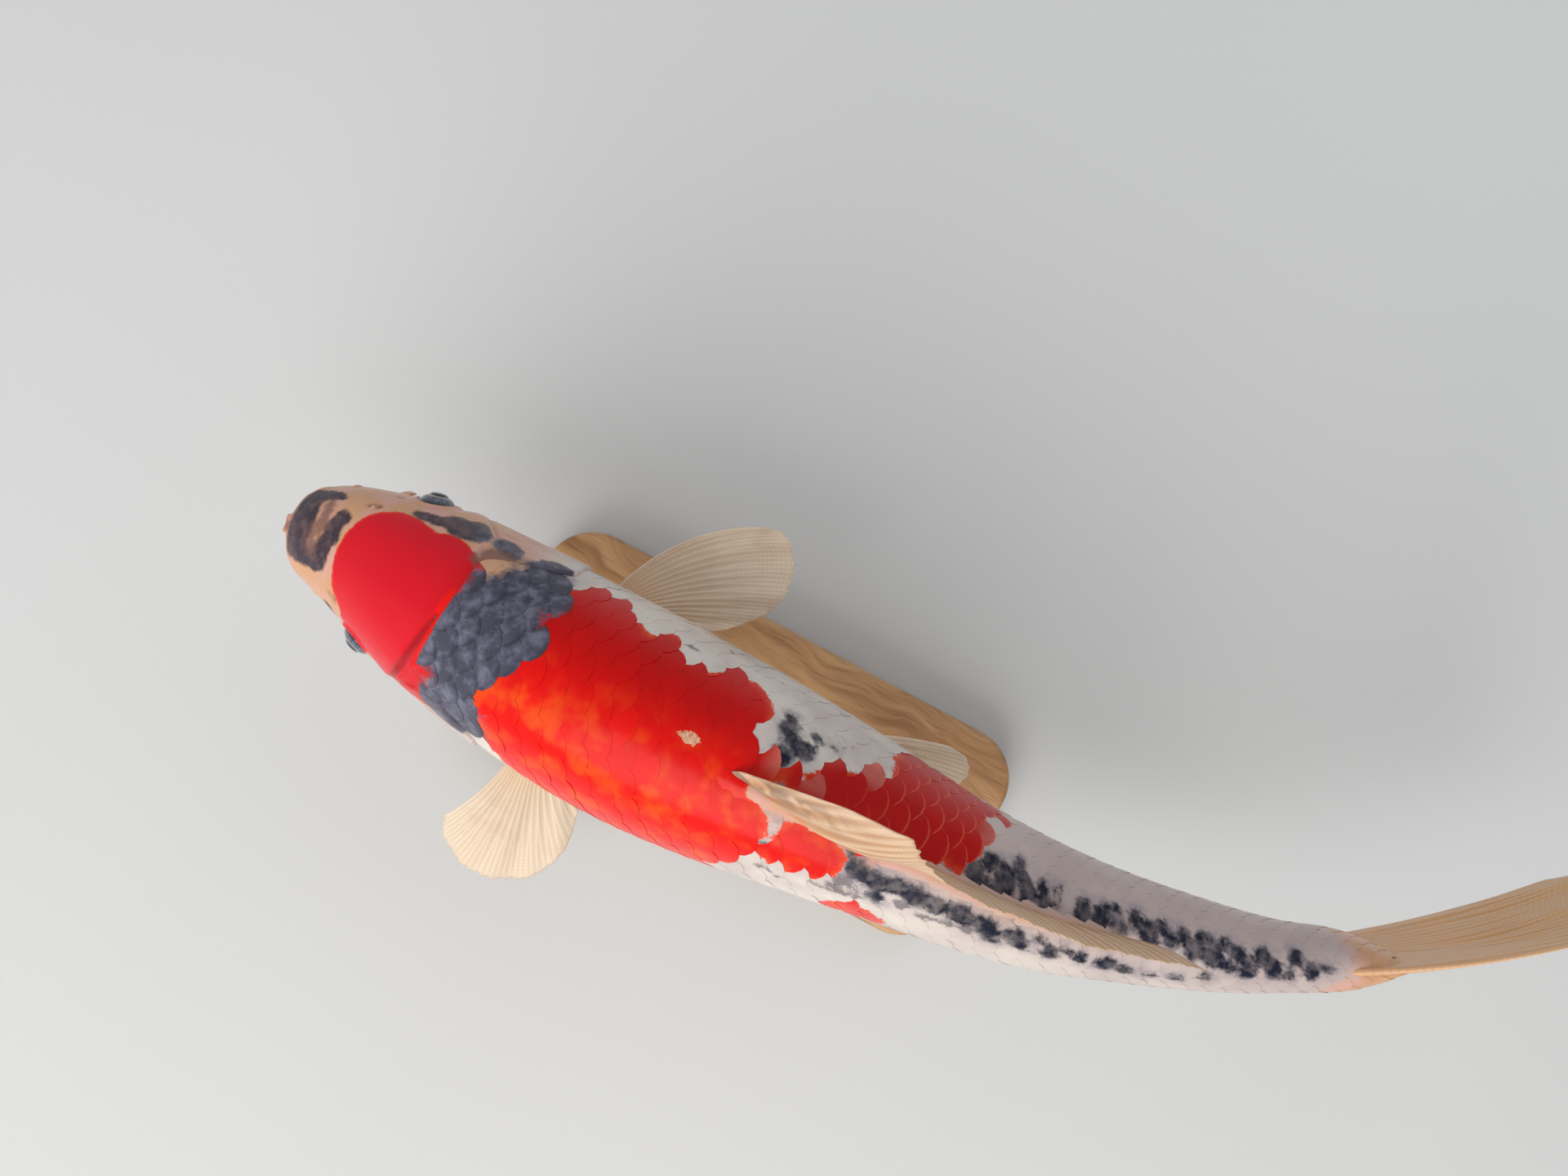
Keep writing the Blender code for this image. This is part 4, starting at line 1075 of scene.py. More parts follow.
def build_eye(side, material):
    """An eyeball with a raised pupil and a shallow groove round it."""
    centre, ahead, up, out = eye_frame(side)
    rings = 56
    spokes = 72
    tilt = np.linspace(0.0, math.pi, rings + 2)[1:-1, None]
    turn = np.linspace(0.0, 2 * math.pi, spokes, endpoint=False)[None, :]
    local = (np.sin(tilt) * np.cos(turn), np.sin(tilt) * np.sin(turn), np.cos(tilt) + 0 * turn)
    local = np.stack(local, axis=-1)
    spread = np.linalg.norm(local[..., :2], axis=-1)
    front = local[..., 2] > 0
    swell = front * (0.00022 * (1.0 - smooth_step(0.30, 0.44, spread)) - 0.00016 * bell(spread - 0.47, 0.05))
    reach = EYE_RADIUS - 0.00022 + swell
    axes = np.stack((ahead, up, out))
    points = centre + (local * reach[..., None]) @ axes
    poles = np.array((centre + out * EYE_RADIUS, centre - out * (EYE_RADIUS - 0.00022)))
    word = "right" if side > 0 else "left"
    item = ringed("eyeball_" + word, points, poles, material)
    gaze = np.concatenate((local.reshape(-1, 3), ((0, 0, 1), (0, 0, -1))))
    add_vectors(item, "gaze", gaze)
    return settle(item, "eye", "eye_" + word)


def socket_called(group, name, way, kind):
    """Add a named socket to a node group and return its identifier."""
    made = group.interface.new_socket(name=name, in_out=way, socket_type=kind)
    return made.identifier


def feeler_tree():
    """Sweeps a tapered round feeler with a blunt tip along a line of points."""
    tree = bpy.data.node_groups.new("Tapered feeler", 'GeometryNodeTree')
    idents = {}
    for name, kind in (("Line", "Geometry"), ("Root radius", "Float"), ("Tip radius", "Float"),
                       ("Look", "Material")):
        idents[name] = socket_called(tree, name, 'INPUT', 'NodeSocket' + kind)
    socket_called(tree, "Feeler", 'OUTPUT', 'NodeSocketGeometry')
    sheet = Layout(tree)
    entry = sheet.node('NodeGroupInput').outputs
    leave = sheet.node('NodeGroupOutput').inputs
    curve = sheet.node('GeometryNodeMeshToCurve', entry["Line"]).outputs[0]
    finer = sheet.node('GeometryNodeResampleCurve')
    sheet.feed(finer.inputs["Curve"], curve)
    sheet.feed(finer.inputs["Count"], FEELER_STEPS)
    along = sheet.node('GeometryNodeSplineParameter').outputs["Factor"]
    tip = sheet.math('POWER', along, FEELER_BLUNTNESS)
    tip = sheet.math('SQRT', sheet.math('SUBTRACT', 1.0, tip))
    taper = sheet.node('ShaderNodeMapRange')
    for name, value in (("Value", along), ("To Min", entry["Root radius"]), ("To Max", entry["Tip radius"])):
        sheet.feed(taper.inputs[name], value)
    size = sheet.times(taper.outputs[0], tip)
    ring = sheet.node('GeometryNodeCurvePrimitiveCircle')
    sheet.feed(ring.inputs["Resolution"], FEELER_SIDES)
    sheet.feed(ring.inputs["Radius"], 1.0)
    sweep = sheet.node('GeometryNodeCurveToMesh')
    sheet.feed(sweep.inputs["Curve"], finer.outputs[0])
    sheet.feed(sweep.inputs["Profile Curve"], ring.outputs[0])
    sheet.feed(sweep.inputs["Fill Caps"], True)
    sheet.feed(sweep.inputs["Scale"], size)
    weld = sheet.node('GeometryNodeMergeByDistance', sweep.outputs[0])
    sheet.feed(weld.inputs["Distance"], FEELER_WELD)
    soft = sheet.node('GeometryNodeSetShadeSmooth', weld.outputs[0])
    whole = sheet.node('GeometryNodeRealizeInstances', soft.outputs[0])
    wear = sheet.node('GeometryNodeSetMaterial', whole.outputs[0])
    sheet.feed(wear.inputs["Material"], entry["Look"])
    sheet.feed(leave[0], wear.outputs[0])
    return tree, idents


def build_barbel(name, side, station, height, length, radius, feeler, material):
    """A soft feeler beside the mouth, swept by the feeler tree and kept as a plain mesh."""
    tree, idents = feeler
    root = side_point(station, height, side, -0.0015)
    back = spine_direction(station)
    right = np.array((-back[1], back[0], 0.0))
    line = []
    for share in np.linspace(0.0, 1.0, 14):
        out = back * (0.20 * share) + right * (side * (0.62 - 0.26 * share))
        out = out + np.array((0.0, 0.0, -0.40 - 0.45 * share))
        line.append(tuple(root + out * length * share))
    mesh = bpy.data.meshes.new(name + "_line")
    mesh.from_pydata(line, [(k, k + 1) for k in range(len(line) - 1)], [])
    guide = show(name + "_line", mesh)
    modifier = guide.modifiers.new("feeler", 'NODES')
    modifier.node_group = tree
    modifier[idents["Root radius"]] = radius * 1.25
    modifier[idents["Tip radius"]] = radius * 0.42
    modifier[idents["Look"]] = material
    bpy.context.view_layer.update()
    evaluated = guide.evaluated_get(bpy.context.evaluated_depsgraph_get())
    solid = bpy.data.meshes.new_from_object(evaluated)
    bpy.data.objects.remove(guide, do_unlink=True)
    item = show(name, solid)
    face_out(item)
    return settle(item, "mouth_skin", name.replace("feeler", "barbel"))


def build_barbels(material):
    """Two pairs of feelers."""
    feeler = feeler_tree()
    for side, word in ((1.0, "right"), (-1.0, "left")):
        build_barbel("feeler_front_" + word, side, 0.034, -0.014, 0.0075, 0.0009, feeler, material)
        build_barbel("feeler_corner_" + word, side, 0.064, -0.040, 0.0120, 0.0012, feeler, material)


def build_base(material):
    """A wooden plate with round corners and softened edges."""
    shape = bmesh.new()
    outline = []
    for cx, cy, start in ((1, 1, 0), (-1, 1, 90), (-1, -1, 180), (1, -1, 270)):
        for step in range(19):
            turn = math.radians(start + 5.0 * step)
            x = cx * (BASE_LENGTH / 2 - BASE_CORNER) + BASE_CORNER * math.cos(turn)
            y = cy * (BASE_WIDTH / 2 - BASE_CORNER) + BASE_CORNER * math.sin(turn)
            outline.append(shape.verts.new((x, y, 0.0)))
    face = shape.faces.new(outline)
    grown = bmesh.ops.extrude_face_region(shape, geom=[face])
    tops = [item for item in grown["geom"] if isinstance(item, bmesh.types.BMVert)]
    bmesh.ops.translate(shape, verts=tops, vec=(0.0, 0.0, BASE_HEIGHT))
    rims = [edge for edge in shape.edges if abs(edge.verts[0].co.z - edge.verts[1].co.z) < 1e-6]
    bmesh.ops.bevel(shape, geom=rims, offset=0.0018, segments=5, profile=0.5, affect='EDGES')
    bmesh.ops.recalc_face_normals(shape, faces=shape.faces[:])
    mesh = bpy.data.meshes.new("stand_plate")
    shape.to_mesh(mesh)
    shape.free()
    for polygon in mesh.polygons:
        polygon.use_smooth = len(polygon.vertices) == 4
    mesh.materials.append(material)
    return settle(show("stand_plate", mesh), "stand_base", "stand_base")


def build_rod(word, station, material):
    """A turned steel rod with a stepped foot; its top ends inside the belly."""
    place = beside_spine(station, 0.0, 0.0)
    top = body_point(station, 180.0)[2] + 0.003
    bottom = BASE_HEIGHT
    profile = (
        (ROD_FOOT_RADIUS - 0.0003, bottom), (ROD_FOOT_RADIUS, bottom + 0.0003),
        (ROD_FOOT_RADIUS, bottom + 0.0016), (ROD_FOOT_RADIUS - 0.0002, bottom + 0.0020),
        (ROD_FOOT_RADIUS * 0.87, bottom + ROD_FOOT_HEIGHT - 0.0002),
        (ROD_FOOT_RADIUS * 0.83, bottom + ROD_FOOT_HEIGHT), (ROD_RADIUS + 0.0006, bottom + ROD_FOOT_HEIGHT),
        (ROD_RADIUS + 0.0001, bottom + ROD_FOOT_HEIGHT + 0.0005), (ROD_RADIUS, bottom + 0.0045),
        (ROD_RADIUS, 0.5 * (bottom + top)), (ROD_RADIUS, top),
    )
    spokes = 64
    turn = np.linspace(0.0, 2 * math.pi, spokes, endpoint=False)
    rings = [np.stack((place[0] + r * np.cos(turn), place[1] + r * np.sin(turn), z + 0 * turn), axis=-1)
             for r, z in profile]
    poles = ((place[0], place[1], bottom), (place[0], place[1], top))
    rod = ringed("stand_post_" + word, np.array(rings), poles, material)
    return settle(rod, "stand_rod", "stand_rod_" + word)


# ---- finishes -------------------------------------------------------------------------------


def paint(red, green, blue):
    """A colour from its usual 0 to 255 values."""
    parts = [value / 255.0 for value in (red, green, blue)]
    return tuple(p / 12.92 if p <= 0.04045 else ((p + 0.055) / 1.055) ** 2.4 for p in parts) + (1.0,)


CROWN_RED = paint(214, 14, 34)
SADDLE_RED = paint(202, 5, 3)
REAR_RED = paint(184, 4, 3)
ORANGE = paint(236, 84, 18)
RIM_ORANGE = paint(230, 88, 44)
WHITE = paint(222, 211, 200)
LILAC = paint(200, 186, 180)
MAUVE = paint(184, 163, 160)
CREAM = paint(232, 214, 196)
BRIGHT_RED = paint(232, 18, 8)
STRIPE_BROWN = paint(116, 82, 76)
TAN = paint(206, 156, 118)
ROSE = paint(214, 160, 146)
HEAD_DARK = paint(62, 50, 60)
HEAD_BROWN = paint(98, 76, 78)
# Painted shade in the fold behind the crown.
FOLD_SHADE_RED = paint(162, 1, 16)
BAND_BLACK = paint(73, 72, 86)
BAND_GREY = paint(112, 111, 129)
SPOT_BLACK = paint(26, 29, 46)
SPECK_GREY = paint(84, 78, 84)
SMOKE = paint(138, 130, 140)
STALK_AMBER = paint(206, 160, 118)
FIN_TAN = paint(214, 182, 150)
FIN_AMBER = paint(214, 148, 82)
FIN_CREAM = paint(232, 210, 184)


class Layout:
    """Adds nodes to one tree and joins them up."""

    def __init__(self, tree):
        self.tree = tree

    def feed(self, socket, value):
        """Join a socket to another one, or set its value."""
        if isinstance(value, bpy.types.NodeSocket):
            self.tree.links.new(value, socket)
        elif value is not None:
            socket.default_value = value

    def node(self, kind, *inputs, **settings):
        """Add a node, with its inputs in order."""
        made = self.tree.nodes.new(kind)
        for name, value in settings.items():
            setattr(made, name, value)
        for place, value in enumerate(inputs):
            self.feed(made.inputs[place], value)
        return made

    def math(self, operation, *values):
        """One sum."""
        return self.node('ShaderNodeMath', *values, operation=operation).outputs[0]

    def times(self, first, second):
        """One product."""
        return self.math('MULTIPLY', first, second)

    def centred(self, *settings):
        """Cloudy noise round 0."""
        return self.math('SUBTRACT', self.noise(*settings), 0.5)

    def vector(self, operation, *values):
        """One sum on vectors."""
        return self.node('ShaderNodeVectorMath', *values, operation=operation).outputs[0]

    def parts(self, vector):
        """The three parts of a vector."""
        return self.node('ShaderNodeSeparateXYZ', vector).outputs

    def join(self, x, y, z):
        """One vector from three parts."""
        return self.node('ShaderNodeCombineXYZ', x, y, z).outputs[0]

    def blend(self, share, first, second, way='MIX'):
        """Mix two colours."""
        made = self.tree.nodes.new('ShaderNodeMix')
        made.data_type = 'RGBA'
        made.blend_type = way
        self.feed(made.inputs[0], share)
        self.feed(made.inputs[6], first)
        self.feed(made.inputs[7], second)
        return made.outputs[2]

    def step(self, value, low, high, start=0.0, end=1.0):
        """Go smoothly from start to end as value goes from low to high."""
        made = self.tree.nodes.new('ShaderNodeMapRange')
        made.interpolation_type = 'SMOOTHSTEP'
        for place, number in enumerate((value, low, high, start, end)):
            self.feed(made.inputs[place], number)
        return made.outputs[0]

    def noise(self, place, scale, detail=2.0, rough=0.5, warp=0.0):
        """Cloudy noise from 0 to 1."""
        made = self.tree.nodes.new('ShaderNodeTexNoise')
        self.feed(made.inputs["Vector"], place)
        made.inputs["Scale"].default_value = scale
        made.inputs["Detail"].default_value = detail
        made.inputs["Roughness"].default_value = rough
        made.inputs["Distortion"].default_value = warp
        return made.outputs["Fac"]

    def attribute(self, name):
        """A vector kept on the mesh."""
        return self.node('ShaderNodeAttribute', attribute_name=name).outputs["Vector"]

    def group(self, group, **values):
        """Place a shader node group; spaces in socket names are written as underscores."""
        made = self.tree.nodes.new('ShaderNodeGroup')
        made.node_tree = group
        for name, value in values.items():
            self.feed(made.inputs[name.replace("_", " ")], value)
        return made.outputs


def new_group(name, takes, gives):
    """An empty shader node group with named sockets."""
    group = bpy.data.node_groups.new(name, 'ShaderNodeTree')
    kinds = {"colour": 'NodeSocketColor', "vector": 'NodeSocketVector', "number": 'NodeSocketFloat'}
    for socket, kind in takes:
        group.interface.new_socket(name=socket, in_out='INPUT', socket_type=kinds[kind])
    for socket, kind in gives:
        group.interface.new_socket(name=socket, in_out='OUTPUT', socket_type=kinds[kind])
    sheet = Layout(group)
    entry = group.nodes.new('NodeGroupInput').outputs
    leave = group.nodes.new('NodeGroupOutput').inputs
    return group, sheet, entry, leave


def markings_group():
    """Turns the distances kept on the mesh into the fish's colours, with painted light on the left of the
    saddle and painted shade on the right flank towards the tail.
    """
    group, sheet, entry, leave = new_group(
        "Koi markings",
        (("Place", "vector"), ("Root", "vector"), ("Marks", "vector"), ("Tints", "vector"),
         ("Edge shift", "number")),
        (("Colour", "colour"), ("Red", "number"), ("Black", "number")))
    place = entry["Place"]
    x, y = sheet.parts(place)[:2]
    red_gap, black_gap = sheet.parts(entry["Marks"])[:2]
    speck_gap, tan_share, low_share = sheet.parts(entry["Tints"])
    broad = sheet.centred(entry["Root"], 110.0, 2.0)
    fine = sheet.centred(place, 520.0, 2.0, 0.6)
    loose = sheet.step(x, -0.112, -0.090, 1.6, 5.0)
    shift = sheet.math('MULTIPLY_ADD', broad, loose, sheet.times(fine, 1.1))
    shift = sheet.math('ADD', shift, entry["Edge shift"])
    red_edge = sheet.math('ADD', red_gap, shift)
    red = sheet.step(red_edge, 0.16, -0.16)
    rim = sheet.times(sheet.step(red_edge, -1.1, 0.1), red)
    ragged = sheet.times(sheet.centred(place, 240.0, 3.0, 0.7), 3.2)
    black_edge = sheet.math('ADD', black_gap, sheet.math('MULTIPLY_ADD', shift, 0.6, ragged))
    black = sheet.step(black_edge, 0.7, -0.9)
    clouds = sheet.noise(place, 34.0, 3.0, 0.55)
    patches = sheet.noise(place, 120.0, 2.0, 0.5)
    white = sheet.blend(sheet.step(clouds, 0.36, 0.66), WHITE, LILAC)
    # Painted shade: the right flank towards the tail is darkened to mauve, partly the fish's own pinkish
    # grey.
    shade = sheet.times(sheet.step(x, 0.02, 0.09), sheet.step(y, -0.02, 0.03, 0.25, 0.8))
    white = sheet.blend(shade, white, MAUVE)
    white = sheet.blend(sheet.times(low_share, 0.75), white, CREAM)
    tan = sheet.blend(sheet.step(patches, 0.35, 0.7), TAN, ROSE)
    base = sheet.blend(sheet.step(tan_share, 0.0, 1.0), white, tan)
    base = sheet.blend(sheet.step(tan_share, 1.0, 1.9), base, STALK_AMBER)
    crimson = sheet.blend(sheet.step(x, -0.110, -0.095), CROWN_RED, SADDLE_RED)
    crimson = sheet.blend(sheet.step(x, 0.005, 0.030), crimson, REAR_RED)
    # Painted light: the left half of the saddle is brightened to a lighter red; the orange blotches there are
    # partly the red's own orange mottling and partly painted light.
    left = sheet.step(y, 0.012, -0.016)
    saddle = sheet.times(left, sheet.step(x, -0.095, -0.075))
    glow = sheet.times(saddle, sheet.step(patches, 0.44, 0.70))
    crimson = sheet.blend(sheet.times(saddle, 0.80), crimson, BRIGHT_RED)
    crimson = sheet.blend(sheet.times(glow, 0.70), crimson, ORANGE)
    crimson = sheet.blend(sheet.times(rim, 0.55), crimson, RIM_ORANGE)
    colour = sheet.blend(red, base, crimson)
    grains = sheet.math('MULTIPLY_ADD', sheet.noise(place, 520.0, 3.0, 0.7), 3.6, -1.8)
    speck = sheet.step(sheet.math('ADD', speck_gap, grains), 0.5, -1.1, 0.0, 0.75)
    colour = sheet.blend(sheet.times(speck, sheet.math('SUBTRACT', 1.0, red)), colour, SPECK_GREY)
    streaks = sheet.noise(place, 210.0, 3.0, 0.6)
    dark = sheet.blend(sheet.step(streaks, 0.40, 0.72), BAND_BLACK, BAND_GREY)
    brown = sheet.blend(sheet.step(streaks, 0.42, 0.66), HEAD_DARK, HEAD_BROWN)
    dark = sheet.blend(sheet.step(x, -0.100, -0.112), dark, brown)
    colour = sheet.blend(black, colour, dark)
    for name, value in (("Colour", colour), ("Red", red), ("Black", black)):
        sheet.feed(leave[name], value)
    return group


def film_group():
    """Fine unevenness of wet skin: a roughness and a height for the bump."""
    group, sheet, entry, leave = new_group(
        "Wet film", (("Place", "vector"), ("Dry", "number"), ("Pores", "number")),
        (("Roughness", "number"), ("Height", "number")))
    place = entry["Place"]
    broad = sheet.noise(place, 60.0, 3.0, 0.55)
    pores = sheet.noise(place, 900.0, 2.0, 0.6)
    rough = sheet.math('MULTIPLY_ADD', broad, 0.16, entry["Dry"])
    rough = sheet.math('MULTIPLY_ADD', pores, 0.06, rough)
    height = sheet.times(pores, entry["Pores"])
    height = sheet.math('MULTIPLY_ADD', broad, 0.35, height)
    sheet.feed(leave["Roughness"], rough)
    sheet.feed(leave["Height"], height)
    return group


def new_look(name, coat=0.0, specular=0.5):
    """A material, its layout, its Principled shader and the object's own coordinates."""
    material = bpy.data.materials.new(name)
    material.use_nodes = True
    sheet = Layout(material.node_tree)
    shader = material.node_tree.nodes["Principled BSDF"]
    shader.inputs["Coat Weight"].default_value = coat
    shader.inputs["Coat Roughness"].default_value = 0.2
    shader.inputs["Specular IOR Level"].default_value = specular
    place = sheet.tree.nodes.new('ShaderNodeTexCoord').outputs["Object"]
    return material, sheet, shader, place


def wet_finish(sheet, shader, film, place, dry, pores):
    """Feed the wet film's roughness to the shader and return its height."""
    wet = sheet.group(film, Place=place, Dry=dry, Pores=pores)
    sheet.feed(shader.inputs["Roughness"], wet["Roughness"])
    return wet["Height"]


def wear_bump(sheet, shader, height, strength, distance):
    """Feed a height to the shader's normal."""
    bump = sheet.tree.nodes.new('ShaderNodeBump')
    bump.inputs["Strength"].default_value = strength
    bump.inputs["Distance"].default_value = distance
    sheet.feed(bump.inputs["Height"], height)
    sheet.feed(shader.inputs["Normal"], bump.outputs[0])


def skin_look(marks_group, film):
    """Bare wet skin, with tinted lips, painted shade in the creases and in the crown's fold, gill streaks and
    brown bars.
    """
    material, sheet, shader, place = new_look("Wet skin", coat=0.16, specular=0.16)
    marks = sheet.group(marks_group, Place=place, Root=place, Marks=sheet.attribute("marks"),
                        Tints=sheet.attribute("tints"), Edge_shift=0.0)
    lip, crease, gill = sheet.parts(sheet.attribute("zones"))
    bar, fold, bright = sheet.parts(sheet.attribute("bars"))
    smear = sheet.times(sheet.centred(place, 260.0, 4.0, 0.65), 7.0)
    stripe = sheet.step(sheet.math('ADD', bar, smear), 1.4, -1.6, 0.0, 0.80)
    colour = sheet.blend(stripe, marks["Colour"], STRIPE_BROWN)
    glow = sheet.times(sheet.step(bright, 1.0, -1.0), marks["Red"])
    colour = sheet.blend(glow, colour, BRIGHT_RED)
    # Painted shade: the fold behind the crown is darkened to a deep red.
    fold_shade = sheet.times(sheet.step(fold, 0.7, -0.7), marks["Red"])
    colour = sheet.blend(sheet.times(fold_shade, 0.9), colour, FOLD_SHADE_RED)
    pink = sheet.times(lip, 0.5)
    colour = sheet.blend(pink, colour, paint(218, 150, 128))
    fan = sheet.noise(sheet.vector('MULTIPLY', place, (0.25, 1.0, 1.8)), 420.0, 2.0, 0.5)
    streak = sheet.times(gill, sheet.step(fan, 0.50, 0.64))
    colour = sheet.blend(sheet.times(streak, 0.30), colour, paint(120, 96, 88))
    # Painted shade: the creases are darkened towards a deep brown-red.
    colour = sheet.blend(sheet.times(crease, 0.55), colour, paint(86, 34, 32))
    sheet.feed(shader.inputs["Base Color"], colour)
    wear_bump(sheet, shader, wet_finish(sheet, shader, film, place, 0.22, 0.35), 0.22, 0.0006)
    return material


def scale_look(marks_group, film):
    """Scales: the skin's markings, with paler rims, veiled edges and smoky dark spots."""
    material, sheet, shader, place = new_look("Wet scales", coat=0.14, specular=0.12)
    local = sheet.parts(sheet.attribute("local"))
    run = local[0]
    chance = local[2]
    nudge = sheet.math('MULTIPLY_ADD', chance, 2.4, -1.2)
    root = sheet.vector('MULTIPLY', sheet.attribute("middle"), (0.001, 0.001, 0.0))
    distances = sheet.attribute("marks")
    marks = sheet.group(marks_group, Place=place, Root=root, Marks=distances,
                        Tints=sheet.attribute("tints"), Edge_shift=nudge)
    clear = sheet.math('SUBTRACT', 1.0, sheet.math('MAXIMUM', marks["Red"], marks["Black"]))
    rim = sheet.step(run, 0.935, 0.985)
    tint = sheet.math('MULTIPLY_ADD', chance, 0.08, 0.96)
    colour = sheet.blend(1.0, marks["Colour"], sheet.join(tint, tint, tint), 'MULTIPLY')
    x, y = sheet.parts(place)[:2]
    gaps = sheet.parts(distances)
    veil = sheet.times(sheet.step(gaps[0], -3.6, -1.0), sheet.step(chance, 0.20, 0.16))
    veil = sheet.times(sheet.times(veil, marks["Red"]), sheet.step(x, 0.000, 0.006))
    veil = sheet.times(veil, sheet.step(y, 0.002, 0.008, 0.0, 0.36))
    colour = sheet.blend(veil, colour, paint(214, 150, 136))
    net = sheet.times(rim, sheet.times(marks["Red"], 0.46))
    net = sheet.times(net, sheet.step(x, 0.022, 0.050))
    colour = sheet.blend(net, colour, paint(232, 112, 74))
    outline = sheet.times(marks["Black"], 0.38)
    outline = sheet.times(sheet.step(run, 0.82, 0.97), outline)
    colour = sheet.blend(outline, colour, paint(34, 35, 46))
    spot, smoke = spot_clouds(sheet, place, gaps[2])
    colour = sheet.blend(sheet.times(smoke, clear), colour, SMOKE)
    colour = sheet.blend(sheet.times(spot, clear), colour, SPOT_BLACK)
    fibres = sheet.noise(sheet.vector('MULTIPLY', place, (1.0, 0.3, 1.0)), 1500.0, 2.0)
    bare = sheet.blend(sheet.step(fibres, 0.35, 0.65), paint(196, 132, 100), paint(222, 178, 146))
    colour = sheet.blend(scuff_share(sheet, place), colour, bare)
    sheet.feed(shader.inputs["Base Color"], colour)
    height = wet_finish(sheet, shader, film, place, 0.22, 0.25)
    rings = sheet.math('SINE', sheet.times(run, 95.0))
    height = sheet.math('MULTIPLY_ADD', rings, 0.05, height)
    wear_bump(sheet, shader, height, 0.16, 0.0004)
    return material


def spot_clouds(sheet, place, gap):
    """Smudged dark spots with a smoky haze round them."""
    broad = sheet.math('MULTIPLY_ADD', sheet.noise(place, 170.0, 2.0), 3.0, -1.5)
    ragged = sheet.math('MULTIPLY_ADD', sheet.noise(place, 620.0, 3.0, 0.7), 2.8, -1.4)
    edge = sheet.math('ADD', gap, sheet.math('ADD', broad, ragged))
    depth = sheet.step(sheet.noise(place, 240.0, 3.0, 0.6), 0.30, 0.62, 0.70, 1.0)
    spot = sheet.times(sheet.step(edge, 1.1, -1.0), depth)
    haze = sheet.step(sheet.noise(place, 150.0, 4.0, 0.7), 0.36, 0.66, 0.10, 0.75)
    return spot, sheet.times(haze, sheet.step(gap, 4.5, -0.5))


def scuff_share(sheet, place):
    """Where one scale on the back is scuffed down to tan skin."""
    station = SCUFF[0] / MILLIMETRES / STANDARD_LENGTH
    centre = body_point(station, angle_at(station, SCUFF[1] / MILLIMETRES))
    away = sheet.vector('SUBTRACT', place, tuple(float(part) for part in centre))
    away = sheet.vector('MULTIPLY', away, (310.0, 560.0, 0.0))
    reach = sheet.node('ShaderNodeVectorMath', away, operation='LENGTH').outputs["Value"]
    torn = sheet.math('MULTIPLY_ADD', sheet.noise(place, 700.0, 3.0, 0.7), 1.6, -0.8)
    return sheet.step(sheet.math('ADD', reach, torn), 1.06, 0.92)


def fin_look(name, film, root, edge, dark_front=0.0, clear=0.34, flush=None, pale=0.5, solid=0.18):
    """Jointed rays with thin skin between them.

    The skin is see-through by the share clear, from the share solid of each ray's length outwards.
    """
    material, sheet, shader, place = new_look(name, coat=0.25, specular=0.35)
    phase, run, ray = sheet.parts(sheet.attribute("rays"))
    colour = sheet.blend(sheet.step(run, 0.05, 0.85), root, edge)
    colour = sheet.blend(sheet.times(ray, pale), colour, FIN_CREAM)
    clouds = sheet.noise(place, 70.0, 3.0, 0.6)
    colour = sheet.blend(sheet.step(clouds, 0.45, 0.75, 0.0, 0.35), colour, paint(206, 168, 140))
    if flush:
        colour = sheet.blend(sheet.step(run, 0.30, 0.0, 0.0, 0.6), colour, flush)
    joint = sheet.math('SINE', sheet.times(run, 260.0))
    joint = sheet.times(sheet.step(joint, 0.55, 0.95), ray)
    colour = sheet.blend(sheet.times(joint, 0.22), colour, paint(170, 128, 92))
    if dark_front:
        smear = sheet.noise(sheet.vector('MULTIPLY', place, (0.5, 1.0, 1.0)), 260.0, 2.0)
        front = sheet.times(sheet.step(phase, 3.2, 0.4), sheet.step(smear, 0.38, 0.55))
        front = sheet.times(front, sheet.step(run, 0.95, 0.5))
        colour = sheet.blend(sheet.times(front, dark_front), colour, SPOT_BLACK)
    sheet.feed(shader.inputs["Base Color"], colour)
    film_part = sheet.math('SUBTRACT', 1.0, ray)
    thin = sheet.times(film_part, sheet.step(run, solid, solid + 0.42))
    alpha = sheet.math('SUBTRACT', 1.0, sheet.times(thin, clear))
    sheet.feed(shader.inputs["Alpha"], alpha)
    height = wet_finish(sheet, shader, film, place, 0.26, 0.20)
    height = sheet.math('MULTIPLY_ADD', joint, -0.25, height)
    wear_bump(sheet, shader, height, 0.25, 0.0005)
    return material


